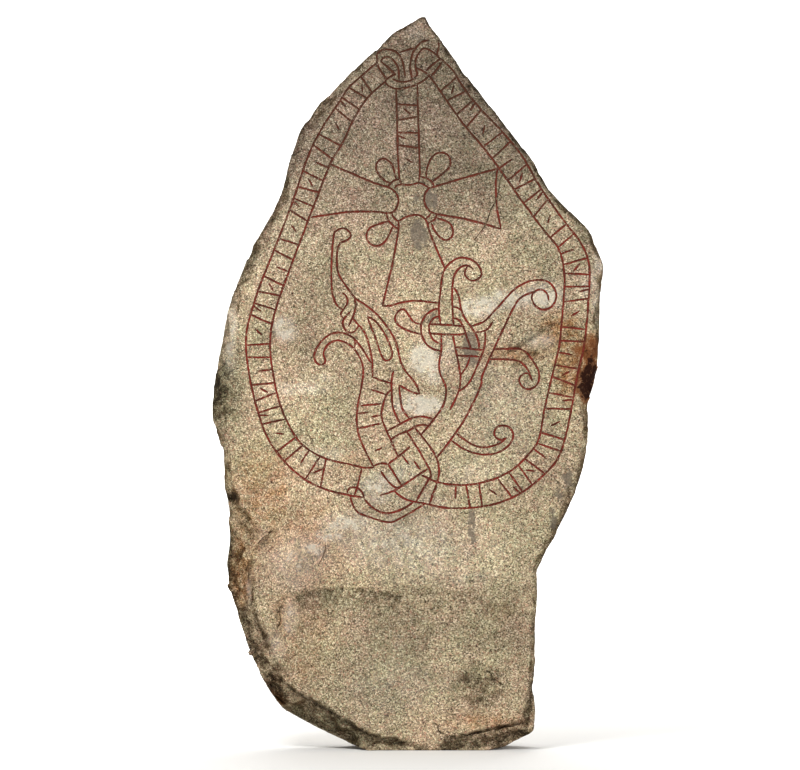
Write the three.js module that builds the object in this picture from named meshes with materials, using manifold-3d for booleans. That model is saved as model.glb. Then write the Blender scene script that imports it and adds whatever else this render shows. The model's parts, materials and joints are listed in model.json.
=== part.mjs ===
// A rune stone: one raised slab of granite, its front face carved with a serpent band that carries
// rows of strokes, a cross on a long shaft, two beasts and a knot.
// Millimetres, +Z up. The carved face looks along -Y, and the origin is under the middle of the slab.
import * as THREE from 'three';
import { mergeVertices } from 'three/addons/utils/BufferGeometryUtils.js';
import Module from 'manifold-3d';

const wasm = await Module();
wasm.setup();

// Sizes of the slab
const STONE_HEIGHT = 2200;
const BELLY_THICKNESS = 280;
const TOP_THICKNESS = 150;
const FOOT_THICKNESS = 265;
const FRONT_ARRIS_DROP = 16;
const BACK_ARRIS = 42;
const FACE_WAVE = 6;
const FACE_WAVE_LENGTH = 900;
const BACK_WAVE = 12;
const BACK_WAVE_LENGTH = 640;

// Proportions of the slab: where up its height it is thickest, how steeply its broken edges fall
// back for each millimetre of bevel, and how far the inner rings lie from the edge to the spine
const BELLY_AT = 0.45;
const FRONT_BEVEL_SLOPE = 0.7;
const BACK_BEVEL_SLOPE = 0.2;
const FRONT_ARRIS_EASE = 0.33;
const BACK_ARRIS_EASE = 0.25;
const FRONT_RING_AT = 0.55;
const BACK_RING_AT = 0.5;

// The swell of the faces: two crossing waves, the share of the broad one, and where they start
const BROAD_SHARE = 0.65;
const BROAD_STRETCH = 0.7;
const BROAD_START = 0.6;
const CROSS_TURNS = 1.3;
const CROSS_SLANT = 1.6;
const CROSS_START = 1.3;

// Sizes of the carving
const GROOVE_WIDTH = 6.2;
const GROOVE_DEPTH = 3.8;
const STROKE_WIDTH = 6;
const STROKE_DEPTH = 3.4;
const STROKE_SPACING = 42;

// How finely the form is drawn: one inner point for every few of the outline, points worked out for
// each listed one of a curve, how far a carved line may stray from its curve, how far its cutter
// stands out of the face as a share of its depth, and the shortest edge that is kept
const COARSE_COUNT = 3;
const CURVE_COUNT = 10;
const CURVE_TOLERANCE = 3.6;
const CUTTER_LIFT = 1.5;
const SHORTEST_EDGE = 0.02;

// The least that a triangle of the face looks forward, and the slack for a point on its edge
const LEAST_FACING = 0.01;
const EDGE_SLACK = 1e-6;

// The drawing of the face: u runs right and v runs down, and the stone is SHEET_HEIGHT units high
// from its foot at v = SHEET_FOOT. SHEET_CENTRE is half way between its widest points.
const SHEET_HEIGHT = 735;
const SHEET_FOOT = 751;
const SHEET_CENTRE = 408;
const UNIT = STONE_HEIGHT / SHEET_HEIGHT;

// The stone's outline, clockwise from its top: u, v, and how far in from the edge the front arris is
const OUTLINE = [
  [424, 16, 5], [431, 28, 6], [444, 44, 7], [455, 60, 8], [469, 80, 8], [485, 100, 8], [501, 119, 7],
  [517, 140, 8], [532, 160, 6], [549, 190, 6], [569, 210, 7], [589, 230, 9], [597, 250, 9], [604, 266, 8],
  [600, 288, 7], [600, 330, 7], [598, 365, 8], [592, 392, 12], [587, 404, 10], [588, 440, 8],
  [584, 466, 9], [575, 494, 12], [563, 520, 10], [547, 550, 8], [537, 574, 6], [537, 600, 6],
  [535, 640, 7], [535, 665, 8], [532, 690, 8], [535, 707, 7], [534, 732, 6], [518, 741, 13],
  [505, 748, 15], [490, 751, 0], [448, 751, 0], [407, 751, 0], [366, 751, 0], [348, 744, 20],
  [333, 737, 24], [316, 729, 29], [301, 721, 32], [284, 712, 31], [274, 700, 25], [262, 680, 19],
  [248, 650, 18], [238, 620, 19], [229, 590, 24], [226, 565, 30], [230, 538, 38], [228, 505, 20],
  [224, 488, 12], [224, 450, 10], [218, 431, 9], [212, 418, 8], [213, 392, 8], [217, 362, 9],
  [222, 340, 9], [227, 314, 9], [234, 290, 10], [243, 270, 12], [256, 240, 13], [265, 225, 14],
  [275, 208, 14], [285, 182, 12], [291, 156, 10], [300, 130, 12], [320, 101, 14], [333, 90, 10],
  [344, 79, 7], [355, 69, 6], [375, 51, 6], [394, 32, 6], [405, 26, 5],
];

// The line up the middle of both faces, which every ring closes towards
const SPINE = [
  [424, 120], [418, 190], [410, 260], [407, 330], [406, 400], [404, 470], [396, 540], [402, 600], [416, 650],
];

// Carved lines. The serpent band is the strip between two edges on each side.
const BAND_LEFT_OUTER = [
  [377.5, 62], [365.6, 72], [349.4, 86.5], [337.5, 104], [325.6, 122], [313.8, 142.5], [303.8, 167.5],
  [294.4, 195.5], [281.9, 230], [269.4, 261], [256.9, 294], [248, 324], [245.8, 345], [248.8, 372.5],
  [255.6, 404], [265, 432.5], [278.8, 455], [298.8, 475], [321.3, 488], [347.5, 495], [363, 497.3],
];
const BAND_LEFT_INNER = [
  [385.6, 81.3], [367.5, 97.5], [353.8, 119], [342.5, 142.5], [330, 164], [317.5, 196], [307.5, 221.5],
  [296.9, 250], [285.6, 280], [276.9, 305], [271, 330], [270.2, 352], [276.3, 391], [286.3, 420],
  [301.3, 443.8], [323.8, 458], [347.5, 463.8], [363.8, 467.8], [374, 467.3],
];
const BAND_RIGHT_OUTER = [
  [440.6, 58.3], [453, 70], [461.3, 83.8], [477.5, 105], [505, 134], [522.5, 156], [533.8, 176],
  [548.8, 199.4], [568.8, 227], [580, 241], [587.5, 257], [589.8, 276], [588, 308], [584.4, 344],
  [577.5, 376], [570.6, 414], [565, 439], [557.5, 459], [545, 474], [523.8, 491.3], [500, 502.5],
  [475, 507.5], [447.5, 508], [425, 503.5], [411, 501], [401, 496.7], [394.4, 491.2],
];
const BAND_RIGHT_INNER = [
  [416.1, 67.8], [427, 73.5], [436.5, 85.5], [451.3, 107.5], [466.3, 127.5], [487.5, 152.5],
  [505, 176.3], [522.5, 201.5], [543.8, 230], [559.4, 250], [564.5, 276], [563, 308], [558.8, 347.5],
  [550, 385], [544.4, 410], [540, 435], [532.5, 450], [511.3, 470.6], [485, 482], [458.8, 485],
  [437.5, 482], [421.3, 475],
];
const SHAFT_LEFT = [[396, 88.4], [397, 120], [398, 158], [399.3, 176], [401.3, 184.3]];
const SHAFT_RIGHT = [[417.4, 84], [418, 110], [419.2, 150], [419.8, 170], [418.9, 182]];

const BANDS = [BAND_LEFT_OUTER, BAND_LEFT_INNER, BAND_RIGHT_OUTER, BAND_RIGHT_INNER];

const TOP_KNOT = [
  [[376.8, 62], [377, 54], [381, 49.5], [388, 49], [396.5, 52], [402, 60], [405.3, 77.5]],
  [[380.4, 60.6], [385, 56.8], [390, 57], [395, 62], [398.4, 69], [398.8, 79.7]],
  [[376.8, 61], [379, 68], [386.4, 79.3], [384.8, 81]],
  [[380.4, 60.6], [386, 65.7], [395.6, 74.2]],
  [[386.4, 79.1], [391, 76], [395.6, 74.2]],
  [[392.4, 78.5], [398, 81.2], [404, 81.7], [410, 80.5], [413.8, 78.5]],
  [[384.8, 81], [387, 84.5], [393, 88], [401, 88.5], [411, 86.4], [420, 82.8], [428.8, 76.5]],
  [[412, 78.5], [410, 66], [412.5, 54], [417, 46.5], [422.5, 41.5], [428.5, 39.8]],
  [[414.5, 77.5], [417.4, 74], [415.4, 67], [416, 59], [419.5, 52], [423.7, 48.2], [430, 50], [438, 55.5]],
  [[438, 40.5], [439.2, 46], [437.1, 54.7], [440.6, 58.6]],
  [[440.3, 58.3], [433, 64.5], [425.6, 71.1]],
  [[441.8, 61.9], [437, 69], [431, 76.6]],
  [[399.4, 52.6], [407, 49.6], [415.8, 47.8]],
];

const CROSS = [
  SHAFT_LEFT, SHAFT_RIGHT,
  [[394.4, 188.6], [398, 184.8], [410, 185], [419, 182.8], [425, 185.2], [429.2, 188]],
  [[330.5, 164], [353, 174], [376, 183.5], [390, 188], [396.5, 194], [398.4, 202], [395.5, 209.5],
    [389, 213.2], [375, 211.6], [350, 211.7], [330, 214.4], [310.5, 217.2]],
  [[427.6, 188.6], [455, 180.5], [498.5, 168.2]],
  [[429.2, 188], [425, 193], [424.1, 200], [427, 208], [434, 213], [450, 216.2], [470, 220], [501, 229]],
  [[497.6, 168.4], [495.8, 184], [496.6, 204], [501, 229]],
  [[398.3, 221.5], [406, 217], [415, 214.8], [422, 216.4], [427, 222], [430, 233], [444.7, 268.1]],
  [[398.3, 221.5], [398.4, 230], [395.5, 248], [391.5, 268], [382.4, 306]],
  [[382.4, 306], [390, 305.6], [401, 302.5], [416, 300.8], [438.7, 303.1]],
  [[387.6, 187.6], [390.5, 183.3], [394.5, 180], [399.7, 179.3]],
  [[420.3, 176.8], [426, 177.6], [431, 181], [434.6, 186.4]],
  [[431.4, 212.6], [429, 216], [425.6, 218.9]],
  [[436.7, 213.8], [435.6, 218], [432.5, 221], [428.4, 223.3]],
  [[391.7, 212.8], [393.5, 217.5], [398.3, 221.6]],
  [[386.1, 213.1], [388, 219.5], [392.5, 225.3], [398.3, 228.8]],
  [[391.4, 183], [385.5, 181], [378.6, 174.5], [375.8, 167], [378.4, 160.6], [384.3, 158.4], [390.5, 162.5],
    [394, 170], [396, 179]],
  [[426.2, 177], [427, 169], [429.6, 161], [434, 155], [440.7, 152.6], [447.3, 154.6], [450.6, 160.5],
    [449.8, 166.6], [444.3, 172.1], [432.9, 181.6]],
  [[388.6, 220.7], [371.6, 226.8], [367.4, 231.8], [366.4, 237.4], [369, 242.9], [375.7, 246],
    [382.6, 243.7], [387.1, 238.2], [393, 226]],
  [[431.4, 222.9], [434.6, 230.6], [440.3, 237.5], [446, 240], [451.4, 237.4], [453.3, 231.6], [451.2, 225],
    [445.6, 220.9], [437.1, 218]],
];

const LEFT_BEAST = [
  [[343.6, 309.6], [338, 306.5], [334, 299.5], [332, 289], [331.4, 270], [333.4, 236], [337.5, 230],
    [343.5, 228.4], [348.5, 230.8], [351, 236], [347, 240], [340.6, 242.6], [337.7, 248], [336.9, 262],
    [339.5, 275.5], [354.8, 297.5], [364.6, 304.2], [376, 313.6], [386, 325.5], [395, 340], [402.6, 366],
    [415.5, 383.5], [419.6, 394]],
  [[342.3, 292.7], [346.3, 296], [347.6, 302.5], [343.6, 309.6]],
  [[354.6, 297.5], [355.6, 306], [353.8, 314.5], [348.5, 326.3]],
  [[343.4, 309.9], [340.5, 314], [343.6, 318.4]],
  [[350.4, 311.2], [345, 317.6], [342.7, 323.5], [345.3, 330], [350.5, 333], [355.5, 330.6], [358.7, 325.5]],
  [[352.3, 318.2], [363.5, 331], [368, 341.5], [372, 360], [372.6, 377]],
  [[372.6, 377], [381, 380.4], [391, 383]],
  [[371, 363], [364, 351.5], [354.5, 339], [346, 334], [338, 332.4], [328.5, 335.3], [319.5, 343.5],
    [314.6, 353], [315.2, 361], [320.5, 365.2], [325.6, 361.5], [323.4, 353.8], [327.5, 345], [337.5, 340.1],
    [348.5, 344.2], [357.5, 353.5], [362.6, 366], [362.4, 380], [357, 412], [359, 436], [373.2, 466.6]],
  [[353.8, 338.4], [355.6, 342.6], [354.3, 347.8]],
  [[367, 316.3], [375.5, 321.6], [384, 332.6], [390, 345], [392.3, 355.5], [388, 360.6], [382.5, 357.5],
    [375, 337], [367.4, 317.6]],
  [[419.6, 394], [411, 391.7], [399, 385]],
  [[399, 385], [399.8, 394], [402.2, 408], [408.9, 418.3]],
  [[393.4, 370.8], [391.2, 382], [391.9, 395], [393, 408], [399.9, 423.5]],
  [[391.6, 389.3], [386.5, 395], [382.4, 407], [381.6, 417.5], [386, 429.7], [398, 456.2]],
];

const LOWER_KNOT = [
  [[387.3, 431], [398, 425], [410, 419], [419, 416.5], [428, 417.5], [434.5, 420]],
  [[390.4, 440.3], [398, 434.8], [408, 431], [417, 426], [423, 424.8], [428.6, 426]],
  [[406.6, 431.5], [420.7, 453.5], [430.5, 472.5], [428.5, 480], [415.8, 501.5]],
  [[414.6, 427.6], [429, 445.5], [436, 457], [438.9, 469], [437.5, 481.2], [429.1, 505]],
  [[427.5, 469], [403.5, 485], [393.3, 491], [380, 495.6]],
  [[388, 464.2], [401.7, 485.4]],
  [[380.7, 470.7], [386, 479], [393, 486], [398.2, 488.2]],
  [[373.2, 466.6], [380.5, 463.4], [388, 464.2]],
  [[388, 464.2], [398.2, 456.6], [410.2, 446.5]],
  [[361.9, 469], [358.8, 480], [355, 495]],
  [[346.7, 493], [349.5, 488.3], [355, 487.4], [361, 491], [364.2, 498.5]],
  [[350.2, 495.9], [352, 503], [356.8, 511.6], [366, 516], [388, 522.3], [400, 518.5], [424.2, 504.4]],
  [[364.2, 499], [372, 507], [382, 512.6], [392, 512.8], [403, 508.8], [413, 502.6]],
];

const RIGHT_BEAST = [
  [[440.5, 324], [439, 308], [442, 278], [446, 267], [454, 260], [463, 257.6], [472.5, 260.2], [480, 267.5],
    [481.4, 275], [476, 280], [469, 279.5], [464.6, 273.5], [467.3, 266.6]],
  [[453.6, 324.6], [452.1, 297], [453.3, 280], [457, 270.5], [463.5, 265.6], [469.5, 266], [473.6, 269.6]],
  [[441.2, 334.5], [441.5, 347], [439.3, 363], [440.5, 374.5], [445.6, 386], [445.5, 397.5], [440, 411],
    [421, 434.8]],
  [[452.6, 334.6], [459, 366], [460.6, 378], [458.7, 391.2], [449.8, 410]],
  [[453.8, 287.6], [458.6, 296], [463, 314.6], [474.5, 332], [478.4, 341.5], [479, 349]],
  [[453.8, 318], [459.5, 320.3], [463.2, 326.5], [471.3, 349.4]],
  [[453.6, 306.8], [457.6, 307.8], [461.2, 311]],
  [[438.7, 308.6], [432, 310.6], [425.3, 315.9], [421.3, 324], [421.5, 334], [426, 343.6], [433, 349],
    [440.5, 350.8]],
  [[439.5, 316], [434, 318], [429.6, 323.5], [429.3, 331], [433.6, 340], [440.9, 344]],
  [[429.1, 324.3], [440.5, 324.4], [463, 326.3]],
  [[431, 333.7], [455, 334.6], [465.8, 333.6]],
  [[420.8, 324.2], [413.5, 321.8], [404.6, 309.8], [398.5, 311.2], [394.8, 317.8], [398.5, 325.3],
    [408, 330.5], [421.4, 334.4]],
  [[471.5, 326], [480, 323.2], [488, 317.8], [512, 291.8], [524, 283.4], [536, 280], [547, 281.2],
    [554.5, 288.5], [556.2, 298], [552, 306.5], [543.5, 309.8], [535.5, 305.6], [531.6, 297.5], [535.5, 291],
    [542, 289.6], [547.3, 294], [548.9, 300.5]],
  [[533.8, 291.6], [522, 297], [513, 309], [484.5, 370], [480, 388], [462, 423.5], [437.2, 457.6]],
  [[475, 332.2], [482, 331.5], [488.5, 328.2], [492.8, 321.4]],
  [[485.2, 331.5], [485.3, 341], [482.6, 352.5], [472.5, 376.5], [466.5, 385.6], [459.5, 391]],
  [[469.6, 357], [467.5, 365], [461.2, 374.8]],
  [[455.2, 347.2], [483.4, 350]],
  [[456.6, 355.3], [479.6, 356.6]],
  [[493, 349.5], [517, 348.6], [526, 352.2], [534, 362], [539.3, 373.5], [537.4, 384], [530, 389.2],
    [522.6, 386.8], [519.2, 379.7], [523, 374], [529.3, 373.8], [532, 380.8]],
  [[489.4, 359.2], [513.5, 359.6], [523.5, 364.2], [530.5, 374]],
  [[456.8, 433.6], [467, 441.3], [478, 446.6], [489, 446.8], [500, 443.3], [506.6, 437.8]],
  [[451.6, 440.5], [463, 448.6], [478, 453.9], [492, 454.1], [504, 449.5], [511.8, 441], [513, 433],
    [508.5, 427], [500.5, 425.5], [494.8, 430], [495.3, 436.6], [500.5, 439.8], [506.6, 437.8]],
];

// Rows of strokes that fill the band and the shaft. Their pattern repeats every PATTERN_COUNT
// spacings. A stroke is given by its place along the row in spacings, the shares of the way from the
// row's first edge to its second where it starts and ends, and how far it leans, as a share of that way.
const PATTERN_COUNT = 8;
const STROKE_PATTERN = [
  [0, 0, 1, 0.1], [0.5, 0.34, 0.64, 0.9], [1, 0, 1, -0.12], [2, 0, 1, 0.05], [2.45, 0, 0.4, 0.35],
  [3, 0, 1, 0.2], [4, 0.34, 0.66, 0.7], [5, 0, 1, -0.05], [6, 0, 1, 0.1], [7, 0.4, 1, 0],
];
const ROWS = [
  [BAND_LEFT_OUTER, BAND_LEFT_INNER, 0.03, 0.95],
  [BAND_RIGHT_OUTER, BAND_RIGHT_INNER, 0.03, 0.93],
  [SHAFT_LEFT, SHAFT_RIGHT, 0.1, 0.9],
];
const PANEL_STROKES = [
  [[371, 389.5], [385.5, 394.5]], [[361, 405.5], [381.5, 404]], [[357.8, 413.5], [368, 412.5]],
  [[371, 417], [381, 415]], [[358.5, 428.5], [382, 423]], [[375, 451], [382, 448]],
  [[402, 455], [409, 464.5]], [[414, 461], [420, 469.5]],
];

// A point of the drawing, in millimetres on the face: x to the right and z up
function place([u, v]) {
  return new THREE.Vector2((u - SHEET_CENTRE) * UNIT, (SHEET_FOOT - v) * UNIT);
}

// How thick the slab is at a height, from its foot through its belly to its top
function thicknessAt(z) {
  const share = THREE.MathUtils.clamp(z / STONE_HEIGHT, 0, 1);
  if (share < BELLY_AT) {
    return THREE.MathUtils.lerp(FOOT_THICKNESS, BELLY_THICKNESS, share / BELLY_AT);
  }
  const rise = (share - BELLY_AT) / (1 - BELLY_AT);
  return THREE.MathUtils.lerp(BELLY_THICKNESS, TOP_THICKNESS, rise * rise);
}

// The gentle swell of a split face, of a given height and length, at a point of it
function swell(x, z, height, length) {
  const turn = 2 * Math.PI / length;
  const broad = Math.sin(x * turn + BROAD_START) * Math.cos(z * turn * BROAD_STRETCH);
  const cross = Math.sin((x + CROSS_SLANT * z) * turn * CROSS_TURNS + CROSS_START);
  return height * THREE.MathUtils.lerp(cross, broad, BROAD_SHARE);
}

function frontDepth(x, z) {
  return -BELLY_THICKNESS / 2 + swell(x, z, FACE_WAVE, FACE_WAVE_LENGTH);
}

function backDepth(x, z) {
  return -BELLY_THICKNESS / 2 + thicknessAt(z) + swell(z, x, BACK_WAVE, BACK_WAVE_LENGTH);
}

// One ring of the slab, a point for each point of the outline, moved in from the edge towards the
// spine by inset(i, reach) and set at depth(i, x, z). A coarse ring has one point for every few of
// the outline, and repeats it for the ones between.
function ring(edge, targets, step, inset, depth) {
  return edge.map((_, fine) => {
    const i = fine - fine % step;
    const start = edge[i];
    const target = targets[i];
    const reach = start.distanceTo(target);
    const flat = start.clone().lerp(target, inset(i, reach) / reach);
    return new THREE.Vector3(flat.x, depth(i, flat.x, flat.y), flat.y);
  });
}

// The spine point that each outline point closes towards: the nearest in height
function spineTargets(edge, spine) {
  return edge.map((point) => {
    const gaps = spine.map((middle) => Math.abs(middle.y - point.y));
    return gaps.indexOf(Math.min(...gaps));
  });
}

function slabGeometry() {
  const edge = OUTLINE.map(place);
  const spine = SPINE.map(place);
  const nearest = spineTargets(edge, spine);
  const targets = nearest.map((index) => spine[index]);
  const bevel = OUTLINE.map((row) => row[2] * UNIT);
  const onFoot = OUTLINE.map((row) => row[2] === 0);
  const backIn = (i) => (onFoot[i] ? 0 : BACK_ARRIS);

  const frontRing = (i, reach) => FRONT_RING_AT * reach;
  const backRing = (i, reach) => BACK_RING_AT * reach;
  const frontArris = (i, x, z) => frontDepth(x, z) + FRONT_ARRIS_EASE * FRONT_ARRIS_DROP;
  const frontRim = (i, x, z) => frontDepth(x, z) + FRONT_ARRIS_DROP + FRONT_BEVEL_SLOPE * bevel[i];
  const backRim = (i, x, z) => backDepth(x, z) - BACK_ARRIS - BACK_BEVEL_SLOPE * bevel[i];
  const backArris = (i, x, z) => backDepth(x, z) - BACK_ARRIS_EASE * BACK_ARRIS;

  const rings = [
    ring(edge, targets, COARSE_COUNT, frontRing, (i, x, z) => frontDepth(x, z)),
    ring(edge, targets, 1, (i) => bevel[i], frontArris),
    ring(edge, targets, 1, () => 0, frontRim),
    ring(edge, targets, 1, () => 0, backRim),
    ring(edge, targets, 1, backIn, backArris),
    ring(edge, targets, COARSE_COUNT, backRing, (i, x, z) => backDepth(x, z)),
  ];
  const ends = [
    spine.map((p) => new THREE.Vector3(p.x, frontDepth(p.x, p.y), p.y)),
    spine.map((p) => new THREE.Vector3(p.x, backDepth(p.x, p.y), p.y)),
  ];

  const corners = [];
  const face = (a, b, c) => {
    if (!a.equals(b) && !b.equals(c) && !c.equals(a)) {
      corners.push(...a, ...b, ...c);
    }
  };
  const count = edge.length;
  for (let i = 0; i < count; i += 1) {
    const next = (i + 1) % count;
    for (let k = 0; k + 1 < rings.length; k += 1) {
      const [outer, inner] = [rings[k + 1], rings[k]];
      face(inner[i], outer[next], outer[i]);
      face(inner[i], inner[next], outer[next]);
    }
    const [front, back] = ends;
    const [first, last] = [rings[0], rings[rings.length - 1]];
    face(front[nearest[i]], first[next], first[i]);
    face(back[nearest[i]], last[i], last[next]);
    if (nearest[i] !== nearest[next]) {
      face(front[nearest[i]], front[nearest[next]], first[next]);
      face(back[nearest[i]], last[next], back[nearest[next]]);
    }
  }
  const geometry = new THREE.BufferGeometry();
  geometry.setAttribute('position', new THREE.Float32BufferAttribute(corners, 3));
  return mergeVertices(geometry);
}

// A closed mesh as a solid that can be cut, and back
function toSolid(geometry) {
  const bare = mergeVertices(geometry);
  const vertProperties = Float32Array.from(bare.attributes.position.array);
  const triVerts = Uint32Array.from(bare.index.array);
  return new wasm.Manifold(new wasm.Mesh({ numProp: 3, vertProperties, triVerts }));
}

// Cutting leaves a few edges far too short to matter: their two ends become one point
function withoutShortEdges(position, corners) {
  const stands = Array.from({ length: position.count }, (_, i) => i);
  const find = (i) => (stands[i] === i ? i : find(stands[i]));
  const point = (i) => new THREE.Vector3().fromBufferAttribute(position, i);
  for (let i = 0; i < corners.length; i += 3) {
    for (let k = 0; k < 3; k += 1) {
      const [start, end] = [find(corners[i + k]), find(corners[i + (k + 1) % 3])];
      if (point(start).distanceTo(point(end)) < SHORTEST_EDGE) {
        stands[Math.max(start, end)] = Math.min(start, end);
      }
    }
  }
  const kept = [];
  for (let i = 0; i < corners.length; i += 3) {
    const triangle = [find(corners[i]), find(corners[i + 1]), find(corners[i + 2])];
    if (new Set(triangle).size === 3) {
      kept.push(...triangle);
    }
  }
  return kept;
}

function toGeometry(solid) {
  const mesh = solid.getMesh();
  const geometry = new THREE.BufferGeometry();
  geometry.setAttribute('position', new THREE.BufferAttribute(mesh.vertProperties, 3));
  geometry.setIndex(withoutShortEdges(geometry.attributes.position, mesh.triVerts));
  const faceted = geometry.toNonIndexed();
  faceted.computeVertexNormals();
  return faceted;
}

// Finds the depth of the carved face at a point of it, from the front triangles of the slab
class Face {
  constructor(geometry) {
    const position = geometry.attributes.position;
    const index = geometry.index;
    const corner = (i) => new THREE.Vector3().fromBufferAttribute(position, index.getX(i));
    this.triangles = [];
    for (let i = 0; i < index.count; i += 3) {
      const triangle = new THREE.Triangle(corner(i), corner(i + 1), corner(i + 2));
      const normal = triangle.getNormal(new THREE.Vector3());
      if (normal.y < -LEAST_FACING) {
        this.triangles.push(triangle);
      }
    }
  }

  depthAt(x, z) {
    const flat = (p) => new THREE.Vector3(p.x, 0, p.z);
    const point = new THREE.Vector3(x, 0, z);
    const weights = new THREE.Vector3();
    for (const { a, b, c } of this.triangles) {
      THREE.Triangle.getBarycoord(point, flat(a), flat(b), flat(c), weights);
      if (Math.min(weights.x, weights.y, weights.z) > -EDGE_SLACK) {
        return weights.x * a.y + weights.y * b.y + weights.z * c.y;
      }
    }
    return frontDepth(x, z);
  }
}

// The points of a curve that are needed to stay within the tolerance of it
function thin(points, tolerance) {
  if (points.length < 3) {
    return points;
  }
  const [start, end] = [points[0], points[points.length - 1]];
  const line = new THREE.Line3(new THREE.Vector3(start.x, start.y), new THREE.Vector3(end.x, end.y));
  const gaps = points.map((p) => {
    const at = new THREE.Vector3(p.x, p.y);
    return line.closestPointToPoint(at, true, new THREE.Vector3()).distanceTo(at);
  });
  const widest = gaps.indexOf(Math.max(...gaps));
  if (gaps[widest] <= tolerance) {
    return [start, end];
  }
  const head = thin(points.slice(0, widest + 1), tolerance);
  return head.concat(thin(points.slice(widest), tolerance).slice(1));
}

function curvePoints(line) {
  const curve = new THREE.SplineCurve(line.map(place));
  return curve.getPoints(CURVE_COUNT * line.length);
}

// A wedge swept along a line of the face: its edge is depth below the face, and it is width wide
// where it meets the face. It stands out of the face by lift, so that it cuts right through it.
function wedge(points, width, depth, face) {
  const lift = CUTTER_LIFT * depth;
  const half = width / 2 * (depth + lift) / depth;
  const sections = points.map((point, i) => {
    const before = points[Math.max(i - 1, 0)];
    const after = points[Math.min(i + 1, points.length - 1)];
    const along = after.clone().sub(before).normalize();
    const side = new THREE.Vector2(-along.y, along.x).multiplyScalar(half);
    const y = face.depthAt(point.x, point.y);
    return [
      new THREE.Vector3(point.x + side.x, y - lift, point.y + side.y),
      new THREE.Vector3(point.x - side.x, y - lift, point.y - side.y),
      new THREE.Vector3(point.x, y + depth, point.y),
    ];
  });
  const corners = [];
  const triangle = (...vertices) => vertices.forEach((p) => corners.push(p.x, p.y, p.z));
  const last = sections.length - 1;
  triangle(sections[0][0], sections[0][2], sections[0][1]);
  triangle(sections[last][0], sections[last][1], sections[last][2]);
  for (let i = 0; i < last; i += 1) {
    for (let k = 0; k < 3; k += 1) {
      const next = (k + 1) % 3;
      triangle(sections[i][k], sections[i][next], sections[i + 1][next]);
      triangle(sections[i][k], sections[i + 1][next], sections[i + 1][k]);
    }
  }
  const geometry = new THREE.BufferGeometry();
  geometry.setAttribute('position', new THREE.Float32BufferAttribute(corners, 3));
  return geometry;
}

function closestOn(points, target) {
  const gaps = points.map((point) => point.distanceTo(target));
  return points[gaps.indexOf(Math.min(...gaps))];
}

// The strokes of one row, placed along its first edge
function rowStrokes([first, second, from, to]) {
  const edge = new THREE.SplineCurve(first.map(place));
  const across = curvePoints(second);
  const length = edge.getLength();
  const spacings = Math.floor(length * (to - from) / STROKE_SPACING);
  const strokes = [];
  for (let repeat = 0; repeat * PATTERN_COUNT < spacings; repeat += 1) {
    for (const [step, head, tail, lean] of STROKE_PATTERN) {
      const slot = repeat * PATTERN_COUNT + step + 0.5;
      if (slot < spacings) {
        const share = from + slot * STROKE_SPACING / length;
        const start = edge.getPointAt(share);
        const way = closestOn(across, start).clone().sub(start);
        const along = edge.getTangentAt(share).multiplyScalar(way.length());
        strokes.push([head, tail].map((part) => {
          return start.clone().addScaledVector(way, part).addScaledVector(along, lean * (part - 0.5));
        }));
      }
    }
  }
  return strokes;
}

function carvedStone() {
  const slab = slabGeometry();
  const face = new Face(slab);
  const lines = [BANDS, TOP_KNOT, CROSS, LEFT_BEAST, LOWER_KNOT, RIGHT_BEAST].flat();
  const grooves = lines.map((line) => {
    return wedge(thin(curvePoints(line), CURVE_TOLERANCE), GROOVE_WIDTH, GROOVE_DEPTH, face);
  });
  const strokes = [...ROWS.flatMap(rowStrokes), ...PANEL_STROKES.map((line) => line.map(place))];
  const marks = strokes.map((stroke) => wedge(stroke, STROKE_WIDTH, STROKE_DEPTH, face));
  const cutters = [...grooves, ...marks].map(toSolid);
  const stone = cutters.reduce((solid, cutter) => solid.subtract(cutter), toSolid(slab));
  return toGeometry(stone);
}

const stoneGeometry = carvedStone();
stoneGeometry.computeBoundingBox();
const middle = stoneGeometry.boundingBox.getCenter(new THREE.Vector3());
stoneGeometry.translate(-middle.x, -middle.y, -stoneGeometry.boundingBox.min.z);

const granite = new THREE.MeshStandardMaterial({ color: '#a1937b', roughness: 0.9, metalness: 0 });
const stone = new THREE.Mesh(stoneGeometry, granite);
stone.name = 'rune_stone';

const part = new THREE.Group();
part.add(stone);
export default part;
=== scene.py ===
"""A raised rune stone of grey-beige granite, carved with a serpent band, a cross, two beasts and a knot.

Metres, +Z up. The carved face looks along -Y. The CAD solid gives the form: the script makes a finely
meshed copy of it, weathers and breaks its surface, cuts the carving and the natural cracks into it
again with rounded, painted grooves, and gives it a procedural granite with the stains of the real one,
and painted shade on its sides, in its creases and below its steps.
"""

import json
import math

import bmesh
import bpy
import numpy as np
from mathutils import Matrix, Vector, noise
from mathutils.bvhtree import BVHTree

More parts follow.
